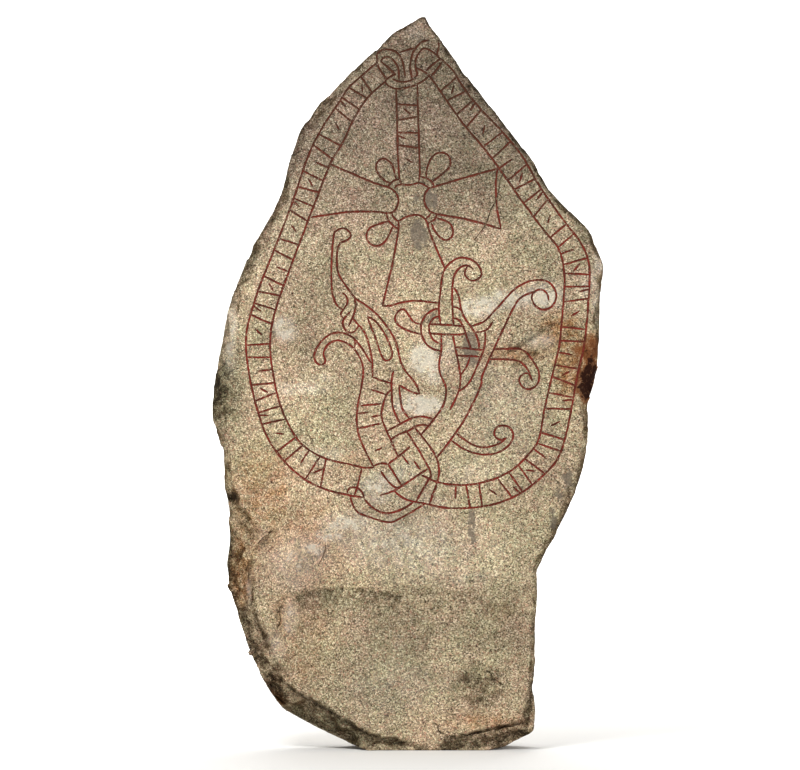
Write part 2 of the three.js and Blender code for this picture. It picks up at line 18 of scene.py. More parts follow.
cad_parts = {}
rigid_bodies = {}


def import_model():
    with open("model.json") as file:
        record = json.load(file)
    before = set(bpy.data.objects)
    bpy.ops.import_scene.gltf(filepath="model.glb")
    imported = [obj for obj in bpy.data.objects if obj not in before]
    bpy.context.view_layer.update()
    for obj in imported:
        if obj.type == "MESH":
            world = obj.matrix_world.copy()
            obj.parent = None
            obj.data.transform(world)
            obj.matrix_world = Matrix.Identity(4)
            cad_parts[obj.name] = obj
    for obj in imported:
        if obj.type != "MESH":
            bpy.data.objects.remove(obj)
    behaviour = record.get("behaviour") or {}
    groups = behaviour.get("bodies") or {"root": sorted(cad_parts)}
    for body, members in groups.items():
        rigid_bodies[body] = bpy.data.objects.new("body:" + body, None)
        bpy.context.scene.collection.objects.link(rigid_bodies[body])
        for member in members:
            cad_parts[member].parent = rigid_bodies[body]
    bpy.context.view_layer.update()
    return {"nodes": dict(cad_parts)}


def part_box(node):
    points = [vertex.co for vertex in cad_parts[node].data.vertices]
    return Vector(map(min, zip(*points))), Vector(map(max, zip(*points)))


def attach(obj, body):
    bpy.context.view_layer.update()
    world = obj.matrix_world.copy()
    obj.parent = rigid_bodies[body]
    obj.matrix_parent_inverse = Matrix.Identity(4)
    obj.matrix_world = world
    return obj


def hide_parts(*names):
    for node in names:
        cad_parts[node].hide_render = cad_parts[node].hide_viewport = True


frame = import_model()
stone_low, stone_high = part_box("rune_stone")

# The drawing of the face: u runs right and v runs down, and the stone is SHEET_HEIGHT units high
# from its foot at v = SHEET_FOOT. SHEET_CENTRE is half way between its widest points.
SHEET_HEIGHT = 735
SHEET_FOOT = 751
SHEET_CENTRE = 408
UNIT = (stone_high.z - stone_low.z) / SHEET_HEIGHT

# Sizes of the carving
GROOVE_WIDTH = 0.0062
GROOVE_DEPTH = 0.0038
STROKE_WIDTH = 0.0060
STROKE_DEPTH = 0.0034
STROKE_SPACING = 0.042
GROOVE_STEP = 0.0088

# How uneven a hand-cut line is, and a natural crack
CUT_ROUGH = 1
CRACK_ROUGH = 2.6

# How uneven the width and the depth of a cut are, as a share, how far it drifts from its line in
# broad and in fine waves, in metres, and how many features a metre each of these has
CUT_UNEVEN = 0.3
BROAD_DRIFT = 0.0009
FINE_DRIFT = 0.0007
WIDTH_SCALE = 45
DEPTH_SCALE = 35
BROAD_SCALE = 28
FINE_SCALE = 90

# Sizes of the surface
SKIN_VOXEL = 0.0096
FACE_ROUGHNESS = 0.0010
FACE_SWELL = 0.0022
BROKEN_SMALL = 0.0052
BROKEN_LARGE = 0.0120
CRUMB_HEIGHT = 0.0012
EDGE_SWELL = 0.001
FOOT_HELD = 0.03

# How many features a metre the unevenness of the surface has
SWELL_SCALE = 9
ROUGHNESS_SCALE = 26
LARGE_FACET_SCALE = 10
SMALL_FACET_SCALE = 27
CRUMB_SCALE = 40

# The share of the broken facets that a face keeps, where a side has them in full
FACET_SHARE_ON_FACE = 0.35

# How far edges stray, in units of the drawing, and how many features a metre that has
LEDGE_STRAY = [(3, 22), (2, 60)]
STAIN_STRAY = [(6, 13), (4, 40)]

# How uneven the depth of the ledges is, as a share, and its features a metre
LEDGE_UNEVEN = 0.8
LEDGE_SCALE = 17

# Edges sharper than this stay sharp
SHARP_ANGLE = math.radians(38)

# Without a seed, vector noise changes from run to run
NOISE_SEED = 1

# The least reach of a stain, in units of the drawing, whose edge strays in full
LOOSE_PATCH = 22

# Where the camera stands, and the size of the picture that it fills
PICTURE = (800, 770)
CAMERA_DISTANCE = 14.0
SENSOR_WIDTH = 36

# The floor, the radius of the curve behind it and the height of the wall above that
FLOOR_HALF_WIDTH = 18
FLOOR_FRONT = -12
FLOOR_BACK = 16
CURVE_RADIUS = 4
CURVE_STEPS = 16
WALL_HEIGHT = 10

# Lights: name, place, what it is aimed at, size in metres and watts
LIGHTS = [
    ("key", (-2.2, -4.2, 5.2), (0, 0, 1.1), 2.0, 230),
    ("fill", (3.5, -5.5, 2.0), (0, 0, 1.0), 4.0, 150),
    ("backdrop", (0, 9, 7), (0, 12, 0), 9.0, 2400),
]
ROOM_LIGHT = 0.5

# Carved lines. The serpent band is the strip between two edges on each side.
BAND_LEFT_OUTER = [
    [377.5, 62], [365.6, 72], [349.4, 86.5], [337.5, 104], [325.6, 122], [313.8, 142.5], [303.8, 167.5],
    [294.4, 195.5], [281.9, 230], [269.4, 261], [256.9, 294], [248, 324], [245.8, 345], [248.8, 372.5],
    [255.6, 404], [265, 432.5], [278.8, 455], [298.8, 475], [321.3, 488], [347.5, 495], [363, 497.3],
]
BAND_LEFT_INNER = [
    [385.6, 81.3], [367.5, 97.5], [353.8, 119], [342.5, 142.5], [330, 164], [317.5, 196],
    [307.5, 221.5], [296.9, 250], [285.6, 280], [276.9, 305], [271, 330], [270.2, 352], [276.3, 391],
    [286.3, 420], [301.3, 443.8], [323.8, 458], [347.5, 463.8], [363.8, 467.8], [374, 467.3],
]
BAND_RIGHT_OUTER = [
    [440.6, 58.3], [453, 70], [461.3, 83.8], [477.5, 105], [505, 134], [522.5, 156], [533.8, 176],
    [548.8, 199.4], [568.8, 227], [580, 241], [587.5, 257], [589.8, 276], [588, 308], [584.4, 344],
    [577.5, 376], [570.6, 414], [565, 439], [557.5, 459], [545, 474], [523.8, 491.3], [500, 502.5],
    [475, 507.5], [447.5, 508], [425, 503.5], [411, 501], [401, 496.7], [394.4, 491.2],
]
BAND_RIGHT_INNER = [
    [416.1, 67.8], [427, 73.5], [436.5, 85.5], [451.3, 107.5], [466.3, 127.5], [487.5, 152.5],
    [505, 176.3], [522.5, 201.5], [543.8, 230], [559.4, 250], [564.5, 276], [563, 308], [558.8, 347.5],
    [550, 385], [544.4, 410], [540, 435], [532.5, 450], [511.3, 470.6], [485, 482], [458.8, 485],
    [437.5, 482], [421.3, 475],
]
SHAFT_LEFT = [[396, 88.4], [397, 120], [398, 158], [399.3, 176], [401.3, 184.3]]
SHAFT_RIGHT = [[417.4, 84], [418, 110], [419.2, 150], [419.8, 170], [418.9, 182]]

BANDS = [BAND_LEFT_OUTER, BAND_LEFT_INNER, BAND_RIGHT_OUTER, BAND_RIGHT_INNER]

TOP_KNOT = [
    [[376.8, 62], [377, 54], [381, 49.5], [388, 49], [396.5, 52], [402, 60], [405.3, 77.5]],
    [[380.4, 60.6], [385, 56.8], [390, 57], [395, 62], [398.4, 69], [398.8, 79.7]],
    [[376.8, 61], [379, 68], [386.4, 79.3], [384.8, 81]],
    [[380.4, 60.6], [386, 65.7], [395.6, 74.2]],
    [[386.4, 79.1], [391, 76], [395.6, 74.2]],
    [[392.4, 78.5], [398, 81.2], [404, 81.7], [410, 80.5], [413.8, 78.5]],
    [[384.8, 81], [387, 84.5], [393, 88], [401, 88.5], [411, 86.4], [420, 82.8], [428.8, 76.5]],
    [[412, 78.5], [410, 66], [412.5, 54], [417, 46.5], [422.5, 41.5], [428.5, 39.8]],
    [[414.5, 77.5], [417.4, 74], [415.4, 67], [416, 59], [419.5, 52], [423.7, 48.2], [430, 50],
        [438, 55.5]],
    [[438, 40.5], [439.2, 46], [437.1, 54.7], [440.6, 58.6]],
    [[440.3, 58.3], [433, 64.5], [425.6, 71.1]],
    [[441.8, 61.9], [437, 69], [431, 76.6]],
    [[399.4, 52.6], [407, 49.6], [415.8, 47.8]],
]

CROSS = [
    SHAFT_LEFT, SHAFT_RIGHT,
    [[394.4, 188.6], [398, 184.8], [410, 185], [419, 182.8], [425, 185.2], [429.2, 188]],
    [[330.5, 164], [353, 174], [376, 183.5], [390, 188], [396.5, 194], [398.4, 202], [395.5, 209.5],
        [389, 213.2], [375, 211.6], [350, 211.7], [330, 214.4], [310.5, 217.2]],
    [[427.6, 188.6], [455, 180.5], [498.5, 168.2]],
    [[429.2, 188], [425, 193], [424.1, 200], [427, 208], [434, 213], [450, 216.2], [470, 220],
        [501, 229]],
    [[497.6, 168.4], [495.8, 184], [496.6, 204], [501, 229]],
    [[398.3, 221.5], [406, 217], [415, 214.8], [422, 216.4], [427, 222], [430, 233], [444.7, 268.1]],
    [[398.3, 221.5], [398.4, 230], [395.5, 248], [391.5, 268], [382.4, 306]],
    [[382.4, 306], [390, 305.6], [401, 302.5], [416, 300.8], [438.7, 303.1]],
    [[387.6, 187.6], [390.5, 183.3], [394.5, 180], [399.7, 179.3]],
    [[420.3, 176.8], [426, 177.6], [431, 181], [434.6, 186.4]],
    [[431.4, 212.6], [429, 216], [425.6, 218.9]],
    [[436.7, 213.8], [435.6, 218], [432.5, 221], [428.4, 223.3]],
    [[391.7, 212.8], [393.5, 217.5], [398.3, 221.6]],
    [[386.1, 213.1], [388, 219.5], [392.5, 225.3], [398.3, 228.8]],
    [[391.4, 183], [385.5, 181], [378.6, 174.5], [375.8, 167], [378.4, 160.6], [384.3, 158.4],
        [390.5, 162.5], [394, 170], [396, 179]],
    [[426.2, 177], [427, 169], [429.6, 161], [434, 155], [440.7, 152.6], [447.3, 154.6],
        [450.6, 160.5], [449.8, 166.6], [444.3, 172.1], [432.9, 181.6]],
    [[388.6, 220.7], [371.6, 226.8], [367.4, 231.8], [366.4, 237.4], [369, 242.9], [375.7, 246],
        [382.6, 243.7], [387.1, 238.2], [393, 226]],
    [[431.4, 222.9], [434.6, 230.6], [440.3, 237.5], [446, 240], [451.4, 237.4], [453.3, 231.6],
        [451.2, 225], [445.6, 220.9], [437.1, 218]],
]

LEFT_BEAST = [
    [[343.6, 309.6], [338, 306.5], [334, 299.5], [332, 289], [331.4, 270], [333.4, 236], [337.5, 230],
        [343.5, 228.4], [348.5, 230.8], [351, 236], [347, 240], [340.6, 242.6], [337.7, 248],
        [336.9, 262], [339.5, 275.5], [354.8, 297.5], [364.6, 304.2], [376, 313.6], [386, 325.5],
        [395, 340], [402.6, 366], [415.5, 383.5], [419.6, 394]],
    [[342.3, 292.7], [346.3, 296], [347.6, 302.5], [343.6, 309.6]],
    [[354.6, 297.5], [355.6, 306], [353.8, 314.5], [348.5, 326.3]],
    [[343.4, 309.9], [340.5, 314], [343.6, 318.4]],
    [[350.4, 311.2], [345, 317.6], [342.7, 323.5], [345.3, 330], [350.5, 333], [355.5, 330.6],
        [358.7, 325.5]],
    [[352.3, 318.2], [363.5, 331], [368, 341.5], [372, 360], [372.6, 377]],
    [[372.6, 377], [381, 380.4], [391, 383]],
    [[371, 363], [364, 351.5], [354.5, 339], [346, 334], [338, 332.4], [328.5, 335.3], [319.5, 343.5],
        [314.6, 353], [315.2, 361], [320.5, 365.2], [325.6, 361.5], [323.4, 353.8], [327.5, 345],
        [337.5, 340.1], [348.5, 344.2], [357.5, 353.5], [362.6, 366], [362.4, 380], [357, 412],
        [359, 436], [373.2, 466.6]],
    [[353.8, 338.4], [355.6, 342.6], [354.3, 347.8]],
    [[367, 316.3], [375.5, 321.6], [384, 332.6], [390, 345], [392.3, 355.5], [388, 360.6],
        [382.5, 357.5], [375, 337], [367.4, 317.6]],
    [[419.6, 394], [411, 391.7], [399, 385]],
    [[399, 385], [399.8, 394], [402.2, 408], [408.9, 418.3]],
    [[393.4, 370.8], [391.2, 382], [391.9, 395], [393, 408], [399.9, 423.5]],
    [[391.6, 389.3], [386.5, 395], [382.4, 407], [381.6, 417.5], [386, 429.7], [398, 456.2]],
]

LOWER_KNOT = [
    [[387.3, 431], [398, 425], [410, 419], [419, 416.5], [428, 417.5], [434.5, 420]],
    [[390.4, 440.3], [398, 434.8], [408, 431], [417, 426], [423, 424.8], [428.6, 426]],
    [[406.6, 431.5], [420.7, 453.5], [430.5, 472.5], [428.5, 480], [415.8, 501.5]],
    [[414.6, 427.6], [429, 445.5], [436, 457], [438.9, 469], [437.5, 481.2], [429.1, 505]],
    [[427.5, 469], [403.5, 485], [393.3, 491], [380, 495.6]],
    [[388, 464.2], [401.7, 485.4]],
    [[380.7, 470.7], [386, 479], [393, 486], [398.2, 488.2]],
    [[373.2, 466.6], [380.5, 463.4], [388, 464.2]],
    [[388, 464.2], [398.2, 456.6], [410.2, 446.5]],
    [[361.9, 469], [358.8, 480], [355, 495]],
    [[346.7, 493], [349.5, 488.3], [355, 487.4], [361, 491], [364.2, 498.5]],
    [[350.2, 495.9], [352, 503], [356.8, 511.6], [366, 516], [388, 522.3], [400, 518.5],
        [424.2, 504.4]],
    [[364.2, 499], [372, 507], [382, 512.6], [392, 512.8], [403, 508.8], [413, 502.6]],
]

RIGHT_BEAST = [
    [[440.5, 324], [439, 308], [442, 278], [446, 267], [454, 260], [463, 257.6], [472.5, 260.2],
        [480, 267.5], [481.4, 275], [476, 280], [469, 279.5], [464.6, 273.5], [467.3, 266.6]],
    [[453.6, 324.6], [452.1, 297], [453.3, 280], [457, 270.5], [463.5, 265.6], [469.5, 266],
        [473.6, 269.6]],
    [[441.2, 334.5], [441.5, 347], [439.3, 363], [440.5, 374.5], [445.6, 386], [445.5, 397.5],
        [440, 411], [421, 434.8]],
    [[452.6, 334.6], [459, 366], [460.6, 378], [458.7, 391.2], [449.8, 410]],
    [[453.8, 287.6], [458.6, 296], [463, 314.6], [474.5, 332], [478.4, 341.5], [479, 349]],
    [[453.8, 318], [459.5, 320.3], [463.2, 326.5], [471.3, 349.4]],
    [[453.6, 306.8], [457.6, 307.8], [461.2, 311]],
    [[438.7, 308.6], [432, 310.6], [425.3, 315.9], [421.3, 324], [421.5, 334], [426, 343.6],
        [433, 349], [440.5, 350.8]],
    [[439.5, 316], [434, 318], [429.6, 323.5], [429.3, 331], [433.6, 340], [440.9, 344]],
    [[429.1, 324.3], [440.5, 324.4], [463, 326.3]],
    [[431, 333.7], [455, 334.6], [465.8, 333.6]],
    [[420.8, 324.2], [413.5, 321.8], [404.6, 309.8], [398.5, 311.2], [394.8, 317.8], [398.5, 325.3],
        [408, 330.5], [421.4, 334.4]],
    [[471.5, 326], [480, 323.2], [488, 317.8], [512, 291.8], [524, 283.4], [536, 280], [547, 281.2],
        [554.5, 288.5], [556.2, 298], [552, 306.5], [543.5, 309.8], [535.5, 305.6], [531.6, 297.5],
        [535.5, 291], [542, 289.6], [547.3, 294], [548.9, 300.5]],
    [[533.8, 291.6], [522, 297], [513, 309], [484.5, 370], [480, 388], [462, 423.5], [437.2, 457.6]],
    [[475, 332.2], [482, 331.5], [488.5, 328.2], [492.8, 321.4]],
    [[485.2, 331.5], [485.3, 341], [482.6, 352.5], [472.5, 376.5], [466.5, 385.6], [459.5, 391]],
    [[469.6, 357], [467.5, 365], [461.2, 374.8]],
    [[455.2, 347.2], [483.4, 350]],
    [[456.6, 355.3], [479.6, 356.6]],
    [[493, 349.5], [517, 348.6], [526, 352.2], [534, 362], [539.3, 373.5], [537.4, 384], [530, 389.2],
        [522.6, 386.8], [519.2, 379.7], [523, 374], [529.3, 373.8], [532, 380.8]],
    [[489.4, 359.2], [513.5, 359.6], [523.5, 364.2], [530.5, 374]],
    [[456.8, 433.6], [467, 441.3], [478, 446.6], [489, 446.8], [500, 443.3], [506.6, 437.8]],
    [[451.6, 440.5], [463, 448.6], [478, 453.9], [492, 454.1], [504, 449.5], [511.8, 441], [513, 433],
        [508.5, 427], [500.5, 425.5], [494.8, 430], [495.3, 436.6], [500.5, 439.8], [506.6, 437.8]],
]

# Rows of strokes that fill the band and the shaft. Their pattern repeats every PATTERN_COUNT
# spacings. A stroke is given by its place along the row in spacings, the shares of the way from the
# row's first edge to its second where it starts and ends, and how far it leans, as a share of that way.
PATTERN_COUNT = 8
STROKE_PATTERN = [
    [0, 0, 1, 0.1], [0.5, 0.34, 0.64, 0.9], [1, 0, 1, -0.12], [2, 0, 1, 0.05], [2.45, 0, 0.4, 0.35],
    [3, 0, 1, 0.2], [4, 0.34, 0.66, 0.7], [5, 0, 1, -0.05], [6, 0, 1, 0.1], [7, 0.4, 1, 0],
]
ROWS = [
    [BAND_LEFT_OUTER, BAND_LEFT_INNER, 0.03, 0.95],
    [BAND_RIGHT_OUTER, BAND_RIGHT_INNER, 0.03, 0.93],
    [SHAFT_LEFT, SHAFT_RIGHT, 0.1, 0.9],
]
PANEL_STROKES = [
    [[371, 389.5], [385.5, 394.5]], [[361, 405.5], [381.5, 404]], [[357.8, 413.5], [368, 412.5]],
    [[371, 417], [381, 415]], [[358.5, 428.5], [382, 423]], [[375, 451], [382, 448]],
    [[402, 455], [409, 464.5]], [[414, 461], [420, 469.5]],
]

# Natural cracks: width and depth in metres, and the line in the drawing
CRACKS = [
    (0.0030, 0.006, [(271, 531), (268, 535), (263, 538), (258, 544)]),
    (0.0030, 0.006, [(254, 586), (251.5, 594), (252.5, 601), (249, 606)]),
    (0.0028, 0.005, [(281, 606), (279, 612), (280.5, 619), (278, 628)]),
    (0.0030, 0.006, [(487, 671), (491, 674), (492.5, 679), (498, 681), (501, 686)]),
    (0.0035, 0.009, [(462, 735), (470, 736), (476, 733), (484, 733.5), (491, 730.5)]),
    (0.0035, 0.009, [(499, 730), (506, 727), (512, 727.5), (519, 723.5)]),
    (0.0032, 0.007, [(433, 723), (438, 726), (438.5, 731), (444, 735)]),
    (0.0030, 0.0045, [(504, 168), (500, 182), (497, 198), (490, 212), (485, 226), (474, 240)]),
    (0.0022, 0.003, [(306, 428), (311, 441), (316, 456), (319, 470)]),
    (0.0030, 0.005, [(326, 545), (323, 556), (318, 566)]),
]

# Ledges and valleys of the face: how deep in metres, how far in the drawing each one reaches to the
# right and to the left of its line as it is walked, how dark its crease is, as dirt and painted shade,
# and the line
LEDGES = [
    (0.020, 3, 20, 0.45, [(272, 531), (266, 540), (257, 551), (251, 562), (249, 576), (251, 590),
        (251, 602), (258, 616)]),
    (0.007, 8, 12, 0.3, [(304, 500), (290, 518), (278, 530), (264, 537)]),
    (0.016, 40, 3, 0.5, [(244, 600), (254, 616), (262, 634), (270, 652), (280, 668), (292, 680)]),
    (0.012, 6, 12, 0.4, [(281, 604), (277, 614), (276, 628), (274, 640)]),
    (0.034, 70, 3, 0.7, [(272, 664), (282, 681), (294, 692), (307, 701), (325, 709), (341, 719),
        (357, 730), (374, 737), (394, 742), (424, 748)]),
    (0.020, 34, 2, 0.8, [(444, 739), (458, 737), (472, 735), (488, 731), (503, 728), (522, 723)]),
    (0.014, 2, 16, 0.5, [(531, 682), (529, 694), (527, 706), (525, 724)]),
    (0.009, 26, 2, 0.5, [(473, 660), (478, 670), (488, 672), (497, 680), (503, 687), (503, 700)]),
    (0.006, 50, 5, 0.0, [(286, 606), (294, 597), (308, 592), (325, 589), (350, 588), (390, 590),
        (430, 594), (470, 596), (510, 598), (540, 602)]),
    (0.010, 16, 3, 0.6, [(504, 356), (520, 345), (532, 338), (552, 324)]),
    (0.008, 12, 3, 0.5, [(514, 366), (530, 356), (542, 352), (560, 340)]),
    (0.012, 2, 16, 0.6, [(590, 456), (585, 470), (577, 494), (563, 520), (547, 550), (540, 572)]),
    (0.010, 3, 18, 0.3, [(578, 400), (577, 386), (578, 370), (584, 350), (588, 336)]),
    (0.007, 14, 3, 0.25, [(356, 526), (340, 539), (320, 553), (302, 569), (290, 588)]),
    (0.005, 10, 3, 0.2, [(318, 508), (303, 523), (285, 536), (272, 549)]),
    (0.008, 20, 4, 0.2, [(300, 120), (290, 150), (282, 180), (270, 208), (256, 236), (244, 264)]),
]

# Hollows and, with a depth below nothing, bosses of the face: middle, reach across and up in the
# drawing, depth in metres, and the share of the reach over which the edge falls away
HOLLOWS = [
    (470, 350, 13, 22, 0.003, 0.6), (419, 235, 9, 17, 0.0025, 0.5), (586, 388, 13, 15, 0.010, 0.8),
    (302, 380, 34, 44, -0.0040, 1.0), (345, 560, 80, 34, -0.0070, 1.0),
    (290, 622, 12, 26, -0.0060, 0.8), (242, 575, 9, 34, -0.0070, 0.6),
    (430, 575, 100, 16, -0.0030, 0.8), (500, 430, 50, 60, -0.0030, 1.0),
    (604, 268, 9, 14, -0.0110, 0.8), (262, 470, 26, 30, 0.0030, 1.0), (228, 499, 11, 6, 0.020, 0.9),
    (565, 490, 12, 34, 0.0030, 0.7), (440, 95, 30, 60, 0.0020, 1.0), (222, 392, 9, 12, -0.012, 0.9),
    (262, 636, 7, 14, 0.012, 0.9), (318, 706, 10, 8, -0.016, 0.8), (300, 700, 9, 7, -0.014, 0.8),
    (345, 728, 12, 6, -0.014, 0.8), (372, 744, 14, 5, -0.010, 0.8), (330, 722, 8, 5, 0.014, 0.8),
]

# Stains and tones of the stone: middle, reach across and up in the drawing, and strength
PALE_PATCHES = [
    (425, 360, 13, 16, 1.15), (434, 376, 9, 9, 0.8), (420, 405, 24, 8, 1.0), (405, 398, 12, 6, 0.7),
    (447, 350, 12, 25, 0.35), (480, 307, 21, 10, 0.9), (512, 299, 23, 9, 0.85),
    (544, 296, 18, 14, 0.85), (540, 342, 17, 8, 0.55), (588, 283, 10, 13, 0.5), (286, 330, 11, 12, 0.8),
    (300, 388, 32, 7, 0.6), (322, 378, 14, 5, 0.4), (352, 518, 22, 8, 0.5), (284, 560, 10, 22, 0.4),
    (325, 455, 24, 10, 0.4), (378, 488, 18, 13, 0.7), (405, 473, 13, 14, 0.5), (345, 523, 24, 9, 0.75),
    (500, 405, 45, 50, 0.25), (500, 440, 40, 30, 0.2), (400, 545, 70, 30, 0.5), (430, 575, 90, 12, 0.3),
    (289, 618, 8, 17, 0.72), (249.5, 588, 3, 18, 0.6), (276, 644, 11, 20, 0.42), (262, 540, 5, 14, 0.4),
    (300, 560, 36, 26, 0.55), (229, 335, 8, 36, 0.8), (598, 305, 6, 26, 0.5), (400, 690, 60, 34, 0.25),
    (398, 645, 12, 12, 0.15), (415, 33, 12, 8, 0.35), (480, 545, 40, 30, 0.25), (470, 470, 30, 14, 0.3),
    (600, 262, 7, 14, 0.6), (330, 536, 16, 7, 0.75), (314, 549, 14, 7, 0.75), (299, 563, 11, 8, 0.7),
    (296, 583, 10, 10, 0.4), (425, 505, 40, 18, 0.25), (440, 660, 40, 30, 0.1),
]
DARK_PATCHES = [
    (430, 315, 9, 14, 0.4), (262, 492, 30, 44, 0.14), (480, 689, 25, 22, 0.66), (492, 678, 11, 8, 0.6),
    (223, 394, 13, 38, 0.75), (233, 402, 12, 34, 0.5), (236, 352, 9, 16, 0.5), (253, 650, 6, 26, 0.3),
    (229, 498, 9, 5, 1.3), (243, 566, 8, 30, 0.4), (332, 100, 17, 14, 0.35), (372, 62, 14, 14, 0.3),
    (392, 368, 14, 10, 0.3), (300, 150, 10, 40, 0.3), (262, 232, 8, 30, 0.3), (520, 625, 18, 40, 0.25),
    (478, 100, 12, 30, 0.2), (582, 430, 8, 20, 0.2), (590, 236, 14, 12, 0.3), (390, 285, 5, 12, 0.35),
    (465, 268, 12, 10, 0.2), (425, 70, 110, 60, 0.48), (430, 170, 150, 80, 0.36),
    (330, 250, 40, 60, 0.3), (530, 250, 40, 60, 0.3), (600, 330, 10, 60, 0.15), (262, 634, 10, 16, 0.5),
    (515, 720, 30, 26, 0.25), (245, 590, 7, 44, 0.2),
]
WARM_PATCHES = [
    (262, 490, 34, 50, 0.52), (300, 545, 55, 45, 0.45), (440, 700, 70, 30, 0.15),
    (249, 582, 7, 26, 0.4), (300, 640, 40, 50, 0.36), (562, 335, 22, 22, 0.75), (515, 356, 34, 9, 0.6),
    (545, 345, 14, 14, 0.5), (588, 350, 14, 18, 0.9), (500, 610, 12, 9, 0.4), (350, 462, 16, 12, 0.35),
    (240, 570, 16, 44, 0.7), (370, 570, 50, 24, 0.25), (485, 722, 46, 12, 0.45),
    (260, 540, 24, 40, 0.4), (276, 700, 9, 9, 0.9), (238, 566, 9, 30, 0.7), (286, 620, 11, 24, 0.7),
    (286, 332, 14, 16, 0.4), (312, 560, 34, 30, 0.6), (566, 372, 13, 28, 0.8),
]
RUST_PATCHES = [
    (590, 350, 8, 12, 0.8), (591, 370, 6, 13, 1.4), (588, 384, 10, 15, 1.6), (562, 385, 5, 8, 0.3),
    (579, 354, 10, 9, 0.45),
]

# Dirt and shade along the open edges: reach either side in the drawing, strength, and the line
DARK_LINES = [
    (7, 0.40, [(318, 104), (300, 132), (286, 180), (266, 224), (246, 268), (233, 300)]),
    (4, 0.50, [(434, 32), (456, 62), (486, 101), (518, 141), (550, 191), (590, 231)]),
    (7, 0.8, [(242, 612), (250, 640), (262, 664), (274, 684), (284, 698)]),
    (9, 0.42, [(300, 712), (320, 724), (338, 734), (354, 741), (372, 747), (396, 751), (420, 751)]),
    (6, 1.0, [(445, 747), (470, 744), (495, 740), (524, 733)]),
    (3, 1.2, [(533, 684), (531, 704), (527, 726)]),
    (5, 0.7, [(230, 540), (227, 566), (231, 592), (238, 616)]),
]

# Painted shadow, olive-grey, below steps and chips of the face, with one clear edge: how far it
# reaches in the drawing to the right and to the left of its line as it is walked, strength, and the line
PAINTED_SHADOWS = [
    (40, 1.5, 0.66, [(289, 614), (296, 599), (310, 591.5), (326, 588.5), (350, 588), (384, 591),
        (412, 598)]),
    (62, 2.0, 0.38, [(287, 626), (288, 612), (294, 598), (308, 591), (325, 588), (350, 588),
        (390, 590), (430, 590), (471, 591), (497, 606), (518, 598), (540, 587)]),
    (16, 2.0, 0.50, [(470, 660), (480, 668), (492, 674), (502, 684), (503, 700)]),
    (14, 2.0, 0.35, [(556, 462), (566, 470), (576, 462), (586, 452)]),
]

# Worn spots where the grain is rubbed away to an even grey, given like the stains
WORN_PATCHES = [
    (419.5, 235, 8, 16, 1.0), (431.5, 199, 6, 12, 1.0), (416, 200, 4, 6, 0.7), (471, 350, 9, 17, 0.9),
    (471, 524, 4, 15, 0.9), (474, 537, 4, 8, 0.9), (569, 477, 10, 16, 0.53), (560, 497, 9, 19, 0.53),
    (554, 518, 6, 16, 0.53), (430, 315, 6, 10, 0.5),
]


def place(u, v):
    """A point of the drawing, in metres on the face: x to the right and z up."""
    return np.array([(u - SHEET_CENTRE) * UNIT, (SHEET_FOOT - v) * UNIT])


def drawn(co):
    """Where points of the stone lie in the drawing: their u and their v."""
    return co[:, 0] / UNIT + SHEET_CENTRE, SHEET_FOOT - co[:, 2] / UNIT


def smooth_step(share):
    """A share held between 0 and 1 that leaves and arrives softly."""
    share = np.clip(share, 0, 1)
    return share * share * (3 - 2 * share)


def spline(line):
    """Closely spaced points of the smooth curve through a carved line's points."""
    points = np.array([place(u, v) for u, v in line])
    padded = np.vstack([points[:1], points, points[-1:]])
    share = np.linspace(0, 1, 24, endpoint=False)[:, None]
    spans = []
    for before, start, end, after in zip(padded, padded[1:], padded[2:], padded[3:]):
        leave = (end - before) / 2
        arrive = (after - start) / 2
        cubic = 2 * start - 2 * end + leave + arrive
        square = 3 * end - 3 * start - 2 * leave - arrive
        spans.append(((cubic * share + square) * share + leave) * share + start)
    return np.vstack(spans + [points[-1:]])


def lengths_along(points):
    """How far along the path each of its points is."""
    steps = np.linalg.norm(np.diff(points, axis=0), axis=1)
    return np.concatenate([[0], np.cumsum(steps)])


def resample(points, step):
    """The same path with evenly spaced points, about a step apart."""
    along = lengths_along(points)
    count = max(2, int(round(along[-1] / step)) + 1)
    at = np.linspace(0, along[-1], count)
    return np.column_stack([np.interp(at, along, points[:, axis]) for axis in (0, 1)])


def row_strokes(first, second, start_share, end_share):
    """The strokes of one row, placed along its first edge."""
    edge = spline(first)
    across = spline(second)
    along = lengths_along(edge)
    spacings = int(along[-1] * (end_share - start_share) / STROKE_SPACING)
    strokes = []
    for repeat in range(spacings // PATTERN_COUNT + 1):
        for step, head, tail, lean in STROKE_PATTERN:
            slot = repeat * PATTERN_COUNT + step + 0.5
            if slot >= spacings:
                break
            at = start_share * along[-1] + slot * STROKE_SPACING
            start = np.array([np.interp(at, along, edge[:, axis]) for axis in (0, 1)])
            ahead = np.array([np.interp(at + 0.002, along, edge[:, axis]) for axis in (0, 1)])
            nearest = across[np.argmin(np.linalg.norm(across - start, axis=1))]
            way = nearest - start
            heading = (ahead - start) / np.linalg.norm(ahead - start) * np.linalg.norm(way)
            ends = [start + way * part + heading * lean * (part - 0.5) for part in (head, tail)]
            strokes.append(np.array(ends))
    return strokes


def bake_modifiers(piece):
    """Makes what the modifiers of a piece give its own mesh."""
    seen = piece.evaluated_get(bpy.context.evaluated_depsgraph_get())
    baked = bpy.data.meshes.new_from_object(seen)
    piece.modifiers.clear()
    old = piece.data
    piece.data = baked
    bpy.data.meshes.remove(old)


